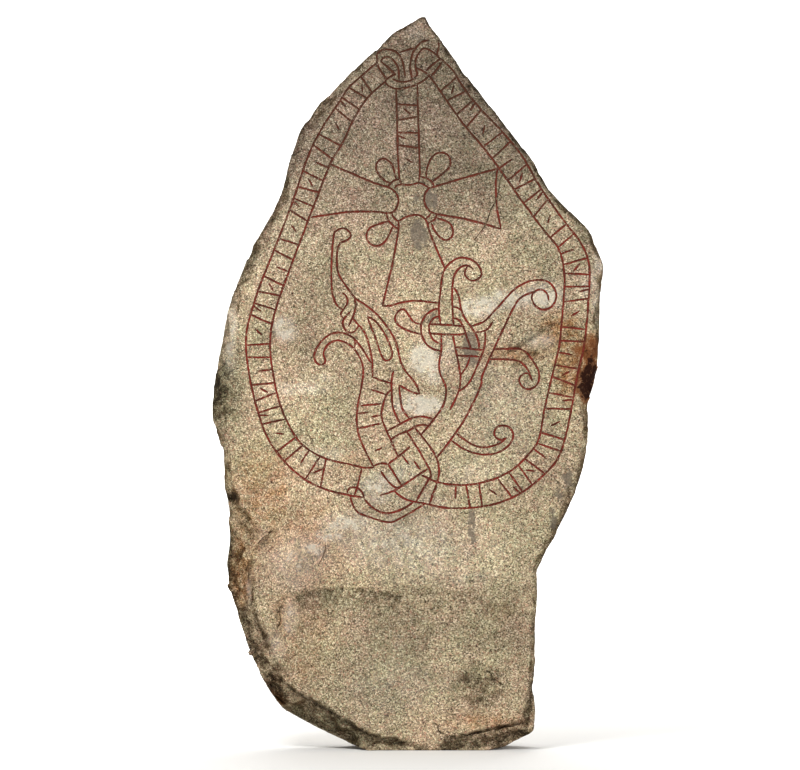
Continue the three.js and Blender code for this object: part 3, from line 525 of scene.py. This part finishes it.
def skin_from_solid():
    """A finely meshed copy of the CAD solid, as a mesh object."""
    skin = bpy.data.objects.new("carved_stone", frame["nodes"]["rune_stone"].data.copy())
    bpy.context.scene.collection.objects.link(skin)
    skin.data.materials.clear()
    work = bmesh.new()
    work.from_mesh(skin.data)
    bmesh.ops.remove_doubles(work, verts=work.verts, dist=1e-5)
    work.to_mesh(skin.data)
    work.free()
    remesh = skin.modifiers.new("fine skin", "REMESH")
    remesh.mode = "VOXEL"
    remesh.voxel_size = SKIN_VOXEL
    remesh.adaptivity = 0
    bake_modifiers(skin)
    return skin


def hollow_depth(across, up):
    """How far the hollows and bosses of the face stand back at points of the drawing."""
    depth = np.zeros(len(across))
    for u, v, reach_u, reach_v, deep, fall in HOLLOWS:
        away = np.hypot((across - u) / reach_u, (up - v) / reach_v)
        depth += deep * smooth_step((1 - away) / fall)
    return depth


def beside(across, up, line):
    """How far points are from a line of the drawing, right of it as positive, and how far along it."""
    points = np.column_stack([across, up])
    corners = np.array(line, dtype=float)
    along = lengths_along(corners)
    nearest = np.full(len(points), np.inf)
    signed = np.zeros(len(points))
    share = np.zeros(len(points))
    for start, end, passed in zip(corners, corners[1:], along):
        way = end - start
        part = np.clip((points - start) @ way / (way @ way), 0, 1)
        gap = points - start - part[:, None] * way
        away = np.linalg.norm(gap, axis=1)
        closer = away < nearest
        side = np.sign(way[0] * gap[:, 1] - way[1] * gap[:, 0])
        nearest[closer] = away[closer]
        signed[closer] = (away * side)[closer]
        share[closer] = (passed + part * np.linalg.norm(way))[closer] / along[-1]
    return signed, share


def ledge_depth(across, up, uneven):
    """How far the ledges and valleys of the face stand back at points of the drawing."""
    depth = np.zeros(len(across))
    for deep, right, left, _, line in LEDGES:
        signed, share = beside(across, up, line)
        reach = np.where(signed > 0, right, left)
        ends = smooth_step(8 * np.minimum(share, 1 - share))
        depth += deep * uneven * ends * smooth_step(1 - np.abs(signed) / reach)
    return depth


def broken_facet(co, scale):
    """The height, about 1 at most, of tilted facets like those of a broken stone."""
    nearest = noise.voronoi(co * scale)[1][0]
    return (co * scale - nearest).dot(noise.cell_vector(nearest * 7.3))


def strayed(places, strays):
    """How far an edge strays at each point, by (reach, features a metre)."""
    wave = noise.noise_vector
    return np.array([sum((reach * wave(at * scale) for reach, scale in strays), Vector()) for at in places])


def weather(skin):
    """Smooths the facets away and gives the skin the unevenness of split and weathered granite."""
    work = bmesh.new()
    work.from_mesh(skin.data)
    for _ in range(2):
        bmesh.ops.smooth_vert(
            work, verts=work.verts, factor=0.5, use_axis_x=True, use_axis_y=True, use_axis_z=True
        )
    work.normal_update()
    places = [vert.co.copy() for vert in work.verts]
    across, up = drawn(np.array(places))
    wander = strayed(places, LEDGE_STRAY)
    uneven = 1 + LEDGE_UNEVEN * np.array([noise.noise(at * LEDGE_SCALE) for at in places])
    sunk = hollow_depth(across + wander[:, 0], up + wander[:, 2])
    sunk += ledge_depth(across + wander[:, 0], up + wander[:, 2], uneven)
    for vert, at, back in zip(work.verts, places, sunk):
        facing = abs(vert.normal.y)
        face = min(1.0, max(0.0, (-vert.normal.y - 0.8) / 0.15))
        slant = min(1.0, max(0.0, (facing - 0.25) / 0.25))
        out = face * FACE_SWELL * noise.fractal(at * SWELL_SCALE, 1.0, 2.0, 3)
        out -= face * FACE_ROUGHNESS * noise.turbulence(at * ROUGHNESS_SCALE, 3, False)
        chunk = BROKEN_LARGE * broken_facet(at, LARGE_FACET_SCALE)
        chunk += BROKEN_SMALL * broken_facet(at, SMALL_FACET_SCALE)
        chunk *= FACET_SHARE_ON_FACE + (1 - FACET_SHARE_ON_FACE) * slant
        crumbs = CRUMB_HEIGHT * noise.fractal(at * CRUMB_SCALE, 1.0, 2.0, 3)
        out += (1 - face) * (chunk + EDGE_SWELL + crumbs)
        held = min(1.0, max(0.0, at.z / FOOT_HELD))
        vert.co = at + vert.normal * out * held
        if vert.normal.y < -0.3:
            vert.co.y += back * held
    half_width = (stone_high.x - stone_low.x) / 2
    for vert in work.verts:
        vert.co.x = min(max(vert.co.x, -half_width), half_width)
        vert.co.y = min(max(vert.co.y, stone_low.y), stone_high.y)
        vert.co.z = min(max(vert.co.z, stone_low.z), stone_high.z)
    work.to_mesh(skin.data)
    work.free()


def face_depth(tree, x, z):
    """Where the carved face is, in y, at a point of the drawing."""
    hit = tree.ray_cast(Vector((x, stone_low.y - 0.2, z)), Vector((0, 1, 0)))[0]
    return hit.y if hit else stone_low.y


# The section of a cut from its left lip to its right: across as a share of half its width, out of
# the face as a share of its depth, and whether the strip to the next point is lip (1) or floor (2)
CUT_SECTION = [
    (-1.9, 1.0, 1), (-1.0, -0.14, 2), (-0.42, -0.92, 2), (0.42, -0.92, 2), (1.0, -0.14, 1), (1.9, 1.0, 1),
]


def cutter(name, path, width, depth, tree, seed, finishes, rough):
    """A closed wedge along a path of the face, uneven by rough and by chance that the seed sets."""
    count = len(path)
    columns = len(CUT_SECTION)
    work = bmesh.new()
    bmesh.ops.create_grid(work, x_segments=count - 1, y_segments=columns, size=1)
    for face in work.faces:
        strip = int((face.calc_center_median().y + 1) / 2 * columns)
        face.material_index = finishes[CUT_SECTION[strip][2]]
    heading = np.gradient(path, axis=0)
    heading /= np.linalg.norm(heading, axis=1)[:, None]
    side = np.column_stack([-heading[:, 1], heading[:, 0]])
    depths = [face_depth(tree, x, z) for x, z in path]
    for vert in work.verts:
        i = round((vert.co.x + 1) / 2 * (count - 1))
        k = round((vert.co.y + 1) / 2 * columns) % columns
        across, out, _ = CUT_SECTION[k]
        at = Vector((path[i][0], seed, path[i][1]))
        taper = 0.5 if i in (0, count - 1) else 1.0
        uneven = taper * max(0.25, 1 + CUT_UNEVEN * rough * noise.noise(at * WIDTH_SCALE))
        drift = BROAD_DRIFT * noise.noise(at * BROAD_SCALE + Vector((7, 0, 0)))
        drift = rough * (drift + FINE_DRIFT * noise.noise(at * FINE_SCALE))
        offset = side[i] * (across * width / 2 * uneven + drift)
        deep = depth * (1 + CUT_UNEVEN * noise.noise(at * DEPTH_SCALE + Vector((0, 0, 9))))
        vert.co = Vector((path[i][0] + offset[0], depths[i] - out * deep, path[i][1] + offset[1]))
    bmesh.ops.remove_doubles(work, verts=work.verts, dist=1e-6)
    ends = [edge for edge in work.edges if edge.is_boundary]
    caps = bmesh.ops.holes_fill(work, edges=ends, sides=0)["faces"]
    for cap in caps:
        cap.material_index = finishes[2]
    bmesh.ops.recalc_face_normals(work, faces=work.faces)
    mesh = bpy.data.meshes.new(name)
    work.to_mesh(mesh)
    work.free()
    return bpy.data.objects.new(name, mesh)


def carve(skin, finishes):
    """Cuts the carving and the cracks into the skin, whose materials are granite, lip and paint."""
    work = bmesh.new()
    work.from_mesh(skin.data)
    tree = BVHTree.FromBMesh(work)
    work.free()
    granite, lip, paint = range(3)
    painted = (granite, lip, paint)
    bare = (granite, granite, granite)
    lines = BANDS + TOP_KNOT + CROSS + LEFT_BEAST + LOWER_KNOT + RIGHT_BEAST
    strokes = [stroke for row in ROWS for stroke in row_strokes(*row)]
    strokes += [np.array([place(u, v) for u, v in line]) for line in PANEL_STROKES]
    cuts = [(spline(line), GROOVE_WIDTH, GROOVE_DEPTH, painted, CUT_ROUGH) for line in lines]
    cuts += [(ends, STROKE_WIDTH, STROKE_DEPTH, painted, CUT_ROUGH) for ends in strokes]
    cuts += [(spline(line), width, depth, bare, CRACK_ROUGH) for width, depth, line in CRACKS]
    cutters = bpy.data.collections.new("cutters")
    bpy.context.scene.collection.children.link(cutters)
    for number, (path, width, depth, strips, rough) in enumerate(cuts):
        even = resample(path, GROOVE_STEP)
        cutters.objects.link(cutter(f"cut_{number}", even, width, depth, tree, number, strips, rough))
    for piece in [skin, *cutters.objects]:
        for finish in finishes:
            piece.data.materials.append(finish)
    cut = skin.modifiers.new("carving", "BOOLEAN")
    cut.operation = "DIFFERENCE"
    cut.operand_type = "COLLECTION"
    cut.collection = cutters
    cut.solver = "MANIFOLD"
    bake_modifiers(skin)
    for piece in list(cutters.objects):
        bpy.data.meshes.remove(piece.data)
    bpy.data.collections.remove(cutters)


def patch_field(across, up, wander, patches):
    """How strong a tone is at each point: the strongest of its patches, each fading from its middle."""
    field = np.zeros(len(across))
    for u, v, reach_u, reach_v, strength in patches:
        stray = min(1.0, min(reach_u, reach_v) / LOOSE_PATCH) * wander
        away = ((across + stray[:, 0] - u) / reach_u) ** 2 + ((up + stray[:, 2] - v) / reach_v) ** 2
        field = np.maximum(field, strength * np.exp(-0.7 * away ** 1.5))
    return field


def line_field(across, up, lines):
    """How strong the dirt and painted shade along the lines is at each point."""
    field = np.zeros(len(across))
    for reach, strength, line in lines:
        away = beside(across, up, line)[0] / reach
        field = np.maximum(field, strength * np.exp(-0.7 * away ** 2))
    return field


def painted_shadow_field(across, up):
    """How strong the one-edged painted shadows are at each point."""
    field = np.zeros(len(across))
    for right, left, strength, line in PAINTED_SHADOWS:
        signed, share = beside(across, up, line)
        reach = np.where(signed > 0, right, left)
        ends = smooth_step(8 * np.minimum(share, 1 - share))
        field = np.maximum(field, strength * ends * np.clip(1 - np.abs(signed) / reach, 0, 1))
    return field


def paint_tones(stone):
    """Stores the tones of each point: pale, dark, warm and rust, how much it is a side, and how worn."""
    mesh = stone.data
    count = len(mesh.vertices)
    co = np.zeros(count * 3)
    mesh.vertices.foreach_get("co", co)
    co = co.reshape(-1, 3)
    normal = np.zeros(count * 3)
    mesh.vertices.foreach_get("normal", normal)
    facing = np.abs(normal.reshape(-1, 3)[:, 1])
    places = [Vector(at) for at in co]
    wander = strayed(places, STAIN_STRAY)
    across, up = drawn(co)
    front = np.clip((stone_low.y + 0.2 - co[:, 1]) / 0.1, 0, 1)
    # A narrow dark line along each ledge and valley: painted shade in its crease, partly also dirt
    crease_shade_and_dirt = [(2.2, strength, line) for _, _, _, strength, line in LEDGES]
    near = line_field(across + 0.25 * wander[:, 0], up + 0.25 * wander[:, 2], crease_shade_and_dirt)
    edges = line_field(across + 0.4 * wander[:, 0], up + 0.4 * wander[:, 2], DARK_LINES)
    pale, dark, warm, rust = [
        patch_field(across, up, wander, patches)
        for patches in (PALE_PATCHES, DARK_PATCHES, WARM_PATCHES, RUST_PATCHES)
    ]
    # Painted shadow below the steps of the face
    painted_shadows = painted_shadow_field(across + 0.3 * wander[:, 0], up + 0.3 * wander[:, 2])
    # The dark tone: darker stone, the dirt and painted shade along the creases and open edges, and the
    # painted shadows below the steps
    dark = np.max([dark, near, edges, painted_shadows], axis=0)
    tones = np.column_stack([pale, dark, warm, rust]) * front[:, None]
    mesh.color_attributes.new("tones", "FLOAT_COLOR", "POINT").data.foreach_set("color", tones.ravel())
    # How much each point is a side, turned aside from the line of view, with a share of its own for each
    # broken facet. The granite is darkened by it: painted shade on the sides, partly also dirt.
    facets = [noise.voronoi(at * SMALL_FACET_SCALE)[1][0] for at in places]
    facet_tone = np.array([noise.cell(facet * 5.1) for facet in facets])
    sides = smooth_step((0.93 - facing) / 0.4) * (0.8 + 0.4 * facet_tone)
    mesh.attributes.new("sides", "FLOAT", "POINT").data.foreach_set("value", sides)
    worn = patch_field(across, up, 0.7 * wander, WORN_PATCHES) * front
    mesh.attributes.new("worn", "FLOAT", "POINT").data.foreach_set("value", worn)


def linear(hex_colour):
    """An sRGB hex colour as the linear colour that the shaders take."""
    channels = [int(hex_colour[i:i + 2], 16) / 255 for i in (1, 3, 5)]
    return [c / 12.92 if c <= 0.04045 else ((c + 0.055) / 1.055) ** 2.4 for c in channels] + [1]


def per_metre(size_mm):
    """The scale of a pattern whose features are size_mm apart."""
    return 1000 / size_mm


def add(material, kind, links=None, **settings):
    """Adds a node with its settings, and its inputs as values or as links from other nodes."""
    tree = material.node_tree
    made = tree.nodes.new(kind)
    for name, value in settings.items():
        setattr(made, name, value)
    for socket, value in (links or {}).items():
        if isinstance(value, bpy.types.NodeSocket):
            tree.links.new(value, made.inputs[socket])
        else:
            made.inputs[socket].default_value = value
    return made


def on_stone(material):
    """Where on the stone a pattern lies."""
    return add(material, "ShaderNodeTexCoord").outputs["Object"]


def stored(material, name):
    """A strength that the mesh stores."""
    return add(material, "ShaderNodeAttribute", attribute_name=name).outputs["Fac"]


def mixed(material, share, first, second, blend="MIX"):
    """Two colours mixed by a share, or blended another way."""
    links = {0: share, 6: first, 7: second}
    return add(material, "ShaderNodeMix", links, data_type="RGBA", blend_type=blend).outputs[2]


def spread(material, value, low, high, to_low=0.0, to_high=1.0):
    """A value moved smoothly from one range to another and held at its ends."""
    links = {"Value": value, "From Min": low, "From Max": high, "To Min": to_low, "To Max": to_high}
    return add(material, "ShaderNodeMapRange", links, interpolation_type="SMOOTHSTEP").outputs[0]


def noise_value(material, where, size_mm, detail, roughness=0.5):
    """Soft noise whose largest features are about size_mm across."""
    links = {"Vector": where, "Scale": per_metre(size_mm), "Detail": detail, "Roughness": roughness}
    return add(material, "ShaderNodeTexNoise", links).outputs["Fac"]


def crystals(material, where, size_mm, colours):
    """Grains of about size_mm, each of one of the colours, given as (share of the grains, colour)."""
    cells = add(material, "ShaderNodeTexVoronoi", {"Vector": where, "Scale": per_metre(size_mm)})
    pick = add(material, "ShaderNodeSeparateColor", {"Color": cells.outputs["Color"]})
    ramp = add(material, "ShaderNodeValToRGB", {"Fac": pick.outputs["Red"]})
    ramp.color_ramp.interpolation = "CONSTANT"
    start = 0
    for i, (share, colour) in enumerate(colours):
        element = ramp.color_ramp.elements[i] if i < 2 else ramp.color_ramp.elements.new(start)
        element.position = start
        element.color = linear(colour)
        start += share
    return ramp.outputs["Color"]


# Patterns of the granite: how far apart their features are, in millimetres. Real pits are finer, but
# wouldn't show.
COARSE_GRAIN = 4.4
FINE_GRAIN = 3.0
GRAIN_BEND = 4
HUE_DRIFT = 200
TONE_DRIFT = 260
STREAK_WIDTH = 34
STAIN_EDGE = 26
SMALL_BREAKS = 42
CHIPS = 26
PITS = 6

# Grains of the granite, from dark mica to pale feldspar: share of the grains and colour
COARSE_GRAINS = [
    (0.09, "#5a5145"), (0.21, "#847866"), (0.16, "#9b957a"), (0.12, "#a38f83"), (0.22, "#b8a993"),
    (0.09, "#cfc2ac"), (0.08, "#b68f7f"), (0.03, "#e4dac8"),
]
FINE_GRAINS = [
    (0.12, "#221d17"), (0.23, "#766c5c"), (0.27, "#a1957e"), (0.18, "#c6b99b"), (0.13, "#f4ead1"),
    (0.07, "#b58b78"),
]
FINE_SHARE = 0.73

# How far the edges of the grains wander, in metres
BEND_REACH = 0.0016

# How the streaks of the split face are turned and stretched
STREAK_TURN = (0, math.radians(-32), 0)
STREAK_STRETCH = (4, 2, 1)

# Soot greys the stone from one height to another, in metres, and there the paint is browner too
SOOT_FROM = 1.2
SOOT_TO = 1.9
BROWN_FROM = 1.35
BROWN_TO = 2.0

# Stains and painted shade, the undermost first: tone of the mesh that says where, colour, most share,
# how it is laid on, and the strengths of the tone between which it grows
STAINS_AND_PAINTED_SHADE = [
    ("warm", "#dba777", 0.8, "MULTIPLY", 0.0, 1.0),
    ("pale", "#797a78", 0.9, "ADD", 0.0, 1.0),
    ("pale", "#c2bba9", 0.55, "MIX", 0.6, 0.8),
    # The side layer darkens the surfaces turned aside from the camera: painted shade, partly also dirt.
    ("side", "#a1988a", 1.0, "MULTIPLY", 0.0, 1.0),
    # The dark layer is darker stone, with dirt and painted shade in the creases and along the open edges,
    # and painted shadow below the steps.
    ("dark", "#747068", 1.0, "MULTIPLY", 0.0, 1.0),
    ("worn", "#635a4f", 0.75, "MIX", 0.36, 0.6),
    ("rust", "#6c3e21", 0.82, "MIX", 0.0, 0.6),
    ("rust", "#200b05", 0.97, "MIX", 0.6, 1.05),
]


def bent_grains(material, where):
    """The grains of the granite, coarse and fine, with uneven edges."""
    links = {"Vector": where, "Scale": per_metre(GRAIN_BEND), "Detail": 3}
    bend = add(material, "ShaderNodeTexNoise", links).outputs["Color"]
    links = {0: bend, 1: (0.5, 0.5, 0.5)}
    centred = add(material, "ShaderNodeVectorMath", links, operation="SUBTRACT").outputs[0]
    links = {0: centred, "Scale": BEND_REACH}
    small = add(material, "ShaderNodeVectorMath", links, operation="SCALE").outputs[0]
    bent = add(material, "ShaderNodeVectorMath", {0: where, 1: small}).outputs[0]
    coarse = crystals(material, bent, COARSE_GRAIN, COARSE_GRAINS)
    fine = crystals(material, bent, FINE_GRAIN, FINE_GRAINS)
    return mixed(material, FINE_SHARE, coarse, fine)


def light_and_dark(material, where):
    """How light the stone is from place to place: broad drifts, and streaks along its split."""
    broad = spread(material, noise_value(material, where, TONE_DRIFT, 6, 0.52), 0.24, 0.76, 0.64, 1.20)
    links = {"Vector": where, "Rotation": STREAK_TURN, "Scale": STREAK_STRETCH}
    along = add(material, "ShaderNodeMapping", links, vector_type="TEXTURE").outputs[0]
    streaks = spread(material, noise_value(material, along, STREAK_WIDTH, 5, 0.6), 0.28, 0.72, 0.88, 1.12)
    tone = add(material, "ShaderNodeMath", {0: broad, 1: streaks}, operation="MULTIPLY").outputs[0]
    return add(material, "ShaderNodeCombineColor", {"Red": tone, "Green": tone, "Blue": tone}).outputs[0]


def with_stains_and_painted_shade(material, where, colour):
    """A colour under all the stains and the painted shade, whose edges are ragged."""
    tones = add(material, "ShaderNodeAttribute", attribute_name="tones")
    parts = add(material, "ShaderNodeSeparateColor", {"Color": tones.outputs["Color"]})
    strengths = {
        "pale": parts.outputs["Red"],
        "dark": parts.outputs["Green"],
        "warm": parts.outputs["Blue"],
        "rust": tones.outputs["Alpha"],
        # Painted shade on the sides, partly also dirt
        "side": stored(material, "sides"),
        "worn": stored(material, "worn"),
    }
    ragged = spread(material, noise_value(material, where, STAIN_EDGE, 6, 0.75), 0.3, 0.7, 0.4, 1.5)
    for tone, layer_colour, most, blend, start, end in STAINS_AND_PAINTED_SHADE:
        links = {0: strengths[tone], 1: ragged}
        uneven = add(material, "ShaderNodeMath", links, operation="MULTIPLY").outputs[0]
        share = spread(material, uneven, start, end, 0, most)
        colour = mixed(material, share, colour, linear(layer_colour), blend)
    return colour


def granite_colour(material):
    """Grains of feldspar, quartz and mica, with the weathering, the stains and the painted shade of this
    stone.
    """
    where = on_stone(material)
    grains = bent_grains(material, where)
    drift = spread(material, noise_value(material, where, HUE_DRIFT, 6, 0.9), 0.34, 0.66)
    hue = mixed(material, drift, linear("#f1f4e2"), linear("#fff0e8"))
    tinted = mixed(material, 1.0, grains, hue, "MULTIPLY")
    shaded = mixed(material, 1.0, tinted, light_and_dark(material, where), "MULTIPLY")
    height = add(material, "ShaderNodeSeparateXYZ", {"Vector": where}).outputs["Z"]
    soot = spread(material, height, SOOT_FROM, SOOT_TO)
    sooted = mixed(material, soot, shaded, linear("#dfdbe6"), "MULTIPLY")
    return with_stains_and_painted_shade(material, where, sooted)


def granite_bump(material):
    """The relief of the grains and of small breaks, finer than the mesh."""
    where = on_stone(material)
    breaks = noise_value(material, where, SMALL_BREAKS, 6, 0.6)
    low = add(material, "ShaderNodeBump", {"Height": breaks, "Strength": 0.8, "Distance": 0.006})
    chips = add(material, "ShaderNodeTexVoronoi", {"Vector": where, "Scale": per_metre(CHIPS)})
    links = {"Height": chips.outputs["Distance"], "Strength": stored(material, "sides")}
    links |= {"Distance": 0.016, "Normal": low.outputs["Normal"]}
    broken = add(material, "ShaderNodeBump", links)
    links = {"Height": noise_value(material, where, PITS, 3, 0.6), "Strength": 0.6, "Distance": 0.0014}
    links["Normal"] = broken.outputs["Normal"]
    return add(material, "ShaderNodeBump", links).outputs["Normal"]


def new_material(name):
    """A material with an empty shader."""
    material = bpy.data.materials.new(name)
    material.use_nodes = True
    return material


# Bare stone and dry paint hardly shine
MATT_SPECULAR = 0.08


def finish_material(material, colour, bump, roughness):
    """Sets the shader of a material from its colour and bump."""
    shader = material.node_tree.nodes["Principled BSDF"]
    shader.inputs["Roughness"].default_value = roughness
    shader.inputs["Specular IOR Level"].default_value = MATT_SPECULAR
    material.node_tree.links.new(colour, shader.inputs["Base Color"])
    material.node_tree.links.new(bump, shader.inputs["Normal"])
    return material


def weathered_granite():
    """Split granite, weathered: matt, grainy, its grains in beige, grey, pink and near-black."""
    material = new_material("weathered_granite")
    return finish_material(material, granite_colour(material), granite_bump(material), 0.88)


# How far apart the rubbed and the weathered places of the paint are, in millimetres
RUBBED_PLACES = 9
WEATHERED_PLACES = 40


def red_colour(material):
    """Iron-red paint, crimson where it is whole and brown where it has weathered."""
    where = on_stone(material)
    worn = spread(material, noise_value(material, where, WEATHERED_PLACES, 6, 0.8), 0.36, 0.64)
    red = mixed(material, worn, linear("#85332a"), linear("#532c23"))
    height = add(material, "ShaderNodeSeparateXYZ", {"Vector": where})
    faded = spread(material, height.outputs["Z"], BROWN_FROM, BROWN_TO, 0, 0.85)
    return mixed(material, faded, red, linear("#493023"))


def rust_red_paint():
    """Matt mineral paint in the cut lines, rubbed and chalky: a dull brown-red with no gloss."""
    material = new_material("rust_red_paint")
    where = on_stone(material)
    bare = spread(material, noise_value(material, where, RUBBED_PLACES, 3, 0.7), 0.52, 0.7, 0, 0.7)
    colour = mixed(material, bare, red_colour(material), granite_colour(material))
    return finish_material(material, colour, granite_bump(material), 0.92)


def rubbed_lip():
    """The lip of a cut line: granite with a little paint rubbed over it."""
    material = new_material("rubbed_lip")
    where = on_stone(material)
    rub = spread(material, noise_value(material, where, RUBBED_PLACES, 3, 0.7), 0.35, 0.7, 0.1, 0.7)
    colour = mixed(material, rub, granite_colour(material), red_colour(material))
    return finish_material(material, colour, granite_bump(material), 0.9)


def studio():
    """A plain pale floor that curves up behind the stone."""
    work = bmesh.new()
    bmesh.ops.create_grid(work, x_segments=1, y_segments=1, size=1)
    half_depth = (FLOOR_BACK - FLOOR_FRONT) / 2
    for vert in work.verts:
        vert.co = Vector((vert.co.x * FLOOR_HALF_WIDTH, (vert.co.y + 1) * half_depth + FLOOR_FRONT, 0))
    back = [edge for edge in work.edges if all(vert.co.y > FLOOR_BACK - 1 for vert in edge.verts)]
    bmesh.ops.spin(
        work, geom=back, cent=(0, FLOOR_BACK, CURVE_RADIUS), axis=(1, 0, 0), angle=math.pi / 2,
        steps=CURVE_STEPS, dvec=(0, 0, 0)
    )
    wall_at = FLOOR_BACK + CURVE_RADIUS
    rim = [edge for edge in work.edges if all(abs(vert.co.y - wall_at) < 0.01 for vert in edge.verts)]
    wall = bmesh.ops.extrude_edge_only(work, edges=rim)["geom"]
    for vert in wall:
        if isinstance(vert, bmesh.types.BMVert):
            vert.co.z += WALL_HEIGHT
    bmesh.ops.remove_doubles(work, verts=work.verts, dist=1e-4)
    mesh = bpy.data.meshes.new("pale_floor")
    work.to_mesh(mesh)
    work.free()
    mesh.shade_smooth()
    floor = bpy.data.objects.new("pale_floor", mesh)
    bpy.context.scene.collection.objects.link(floor)
    material = new_material("pale_floor")
    shader = material.node_tree.nodes["Principled BSDF"]
    shader.inputs["Base Color"].default_value = linear("#f4f3f0")
    shader.inputs["Roughness"].default_value = 0.9
    mesh.materials.append(material)


def soft_light(name, stands_at, target, size, watts):
    """A round soft light aimed at a point."""
    lamp = bpy.data.lights.new(name, "AREA")
    lamp.shape = "DISK"
    lamp.size = size
    lamp.energy = watts
    holder = bpy.data.objects.new(name, lamp)
    holder.location = stands_at
    holder.rotation_euler = (Vector(target) - Vector(stands_at)).to_track_quat("-Z", "Y").to_euler()
    bpy.context.scene.collection.objects.link(holder)


def camera():
    """Straight in front of the carved face, far enough away that the stone is seen almost square on."""
    lens = bpy.data.cameras.new("camera")
    lens.sensor_width = SENSOR_WIDTH
    lens.lens = SENSOR_WIDTH * CAMERA_DISTANCE / (PICTURE[0] * UNIT)
    eye = bpy.data.objects.new("camera", lens)
    x, z = place(PICTURE[0] / 2, PICTURE[1] / 2)
    eye.location = (x, stone_low.y - CAMERA_DISTANCE, z)
    eye.rotation_euler = (math.pi / 2, 0, 0)
    bpy.context.scene.collection.objects.link(eye)
    bpy.context.scene.camera = eye


def light_the_scene():
    """A soft white room and three large lights, the strongest from the upper left."""
    world = bpy.data.worlds.new("soft white room")
    world.use_nodes = True
    sky = world.node_tree.nodes["Background"]
    sky.inputs["Color"].default_value = linear("#ffffff")
    sky.inputs["Strength"].default_value = ROOM_LIGHT
    bpy.context.scene.world = world
    for light in LIGHTS:
        soft_light(*light)
    bpy.context.scene.view_settings.view_transform = "Standard"


def main():
    """Makes the studio, then the stone in one piece over the CAD solid."""
    noise.seed_set(NOISE_SEED)
    studio()
    camera()
    light_the_scene()
    stone = skin_from_solid()
    weather(stone)
    carve(stone, [weathered_granite(), rubbed_lip(), rust_red_paint()])
    paint_tones(stone)
    stone.data.shade_smooth()
    stone.data.set_sharp_from_angle(angle=SHARP_ANGLE)
    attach(stone, "root")
    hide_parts("rune_stone")


main()
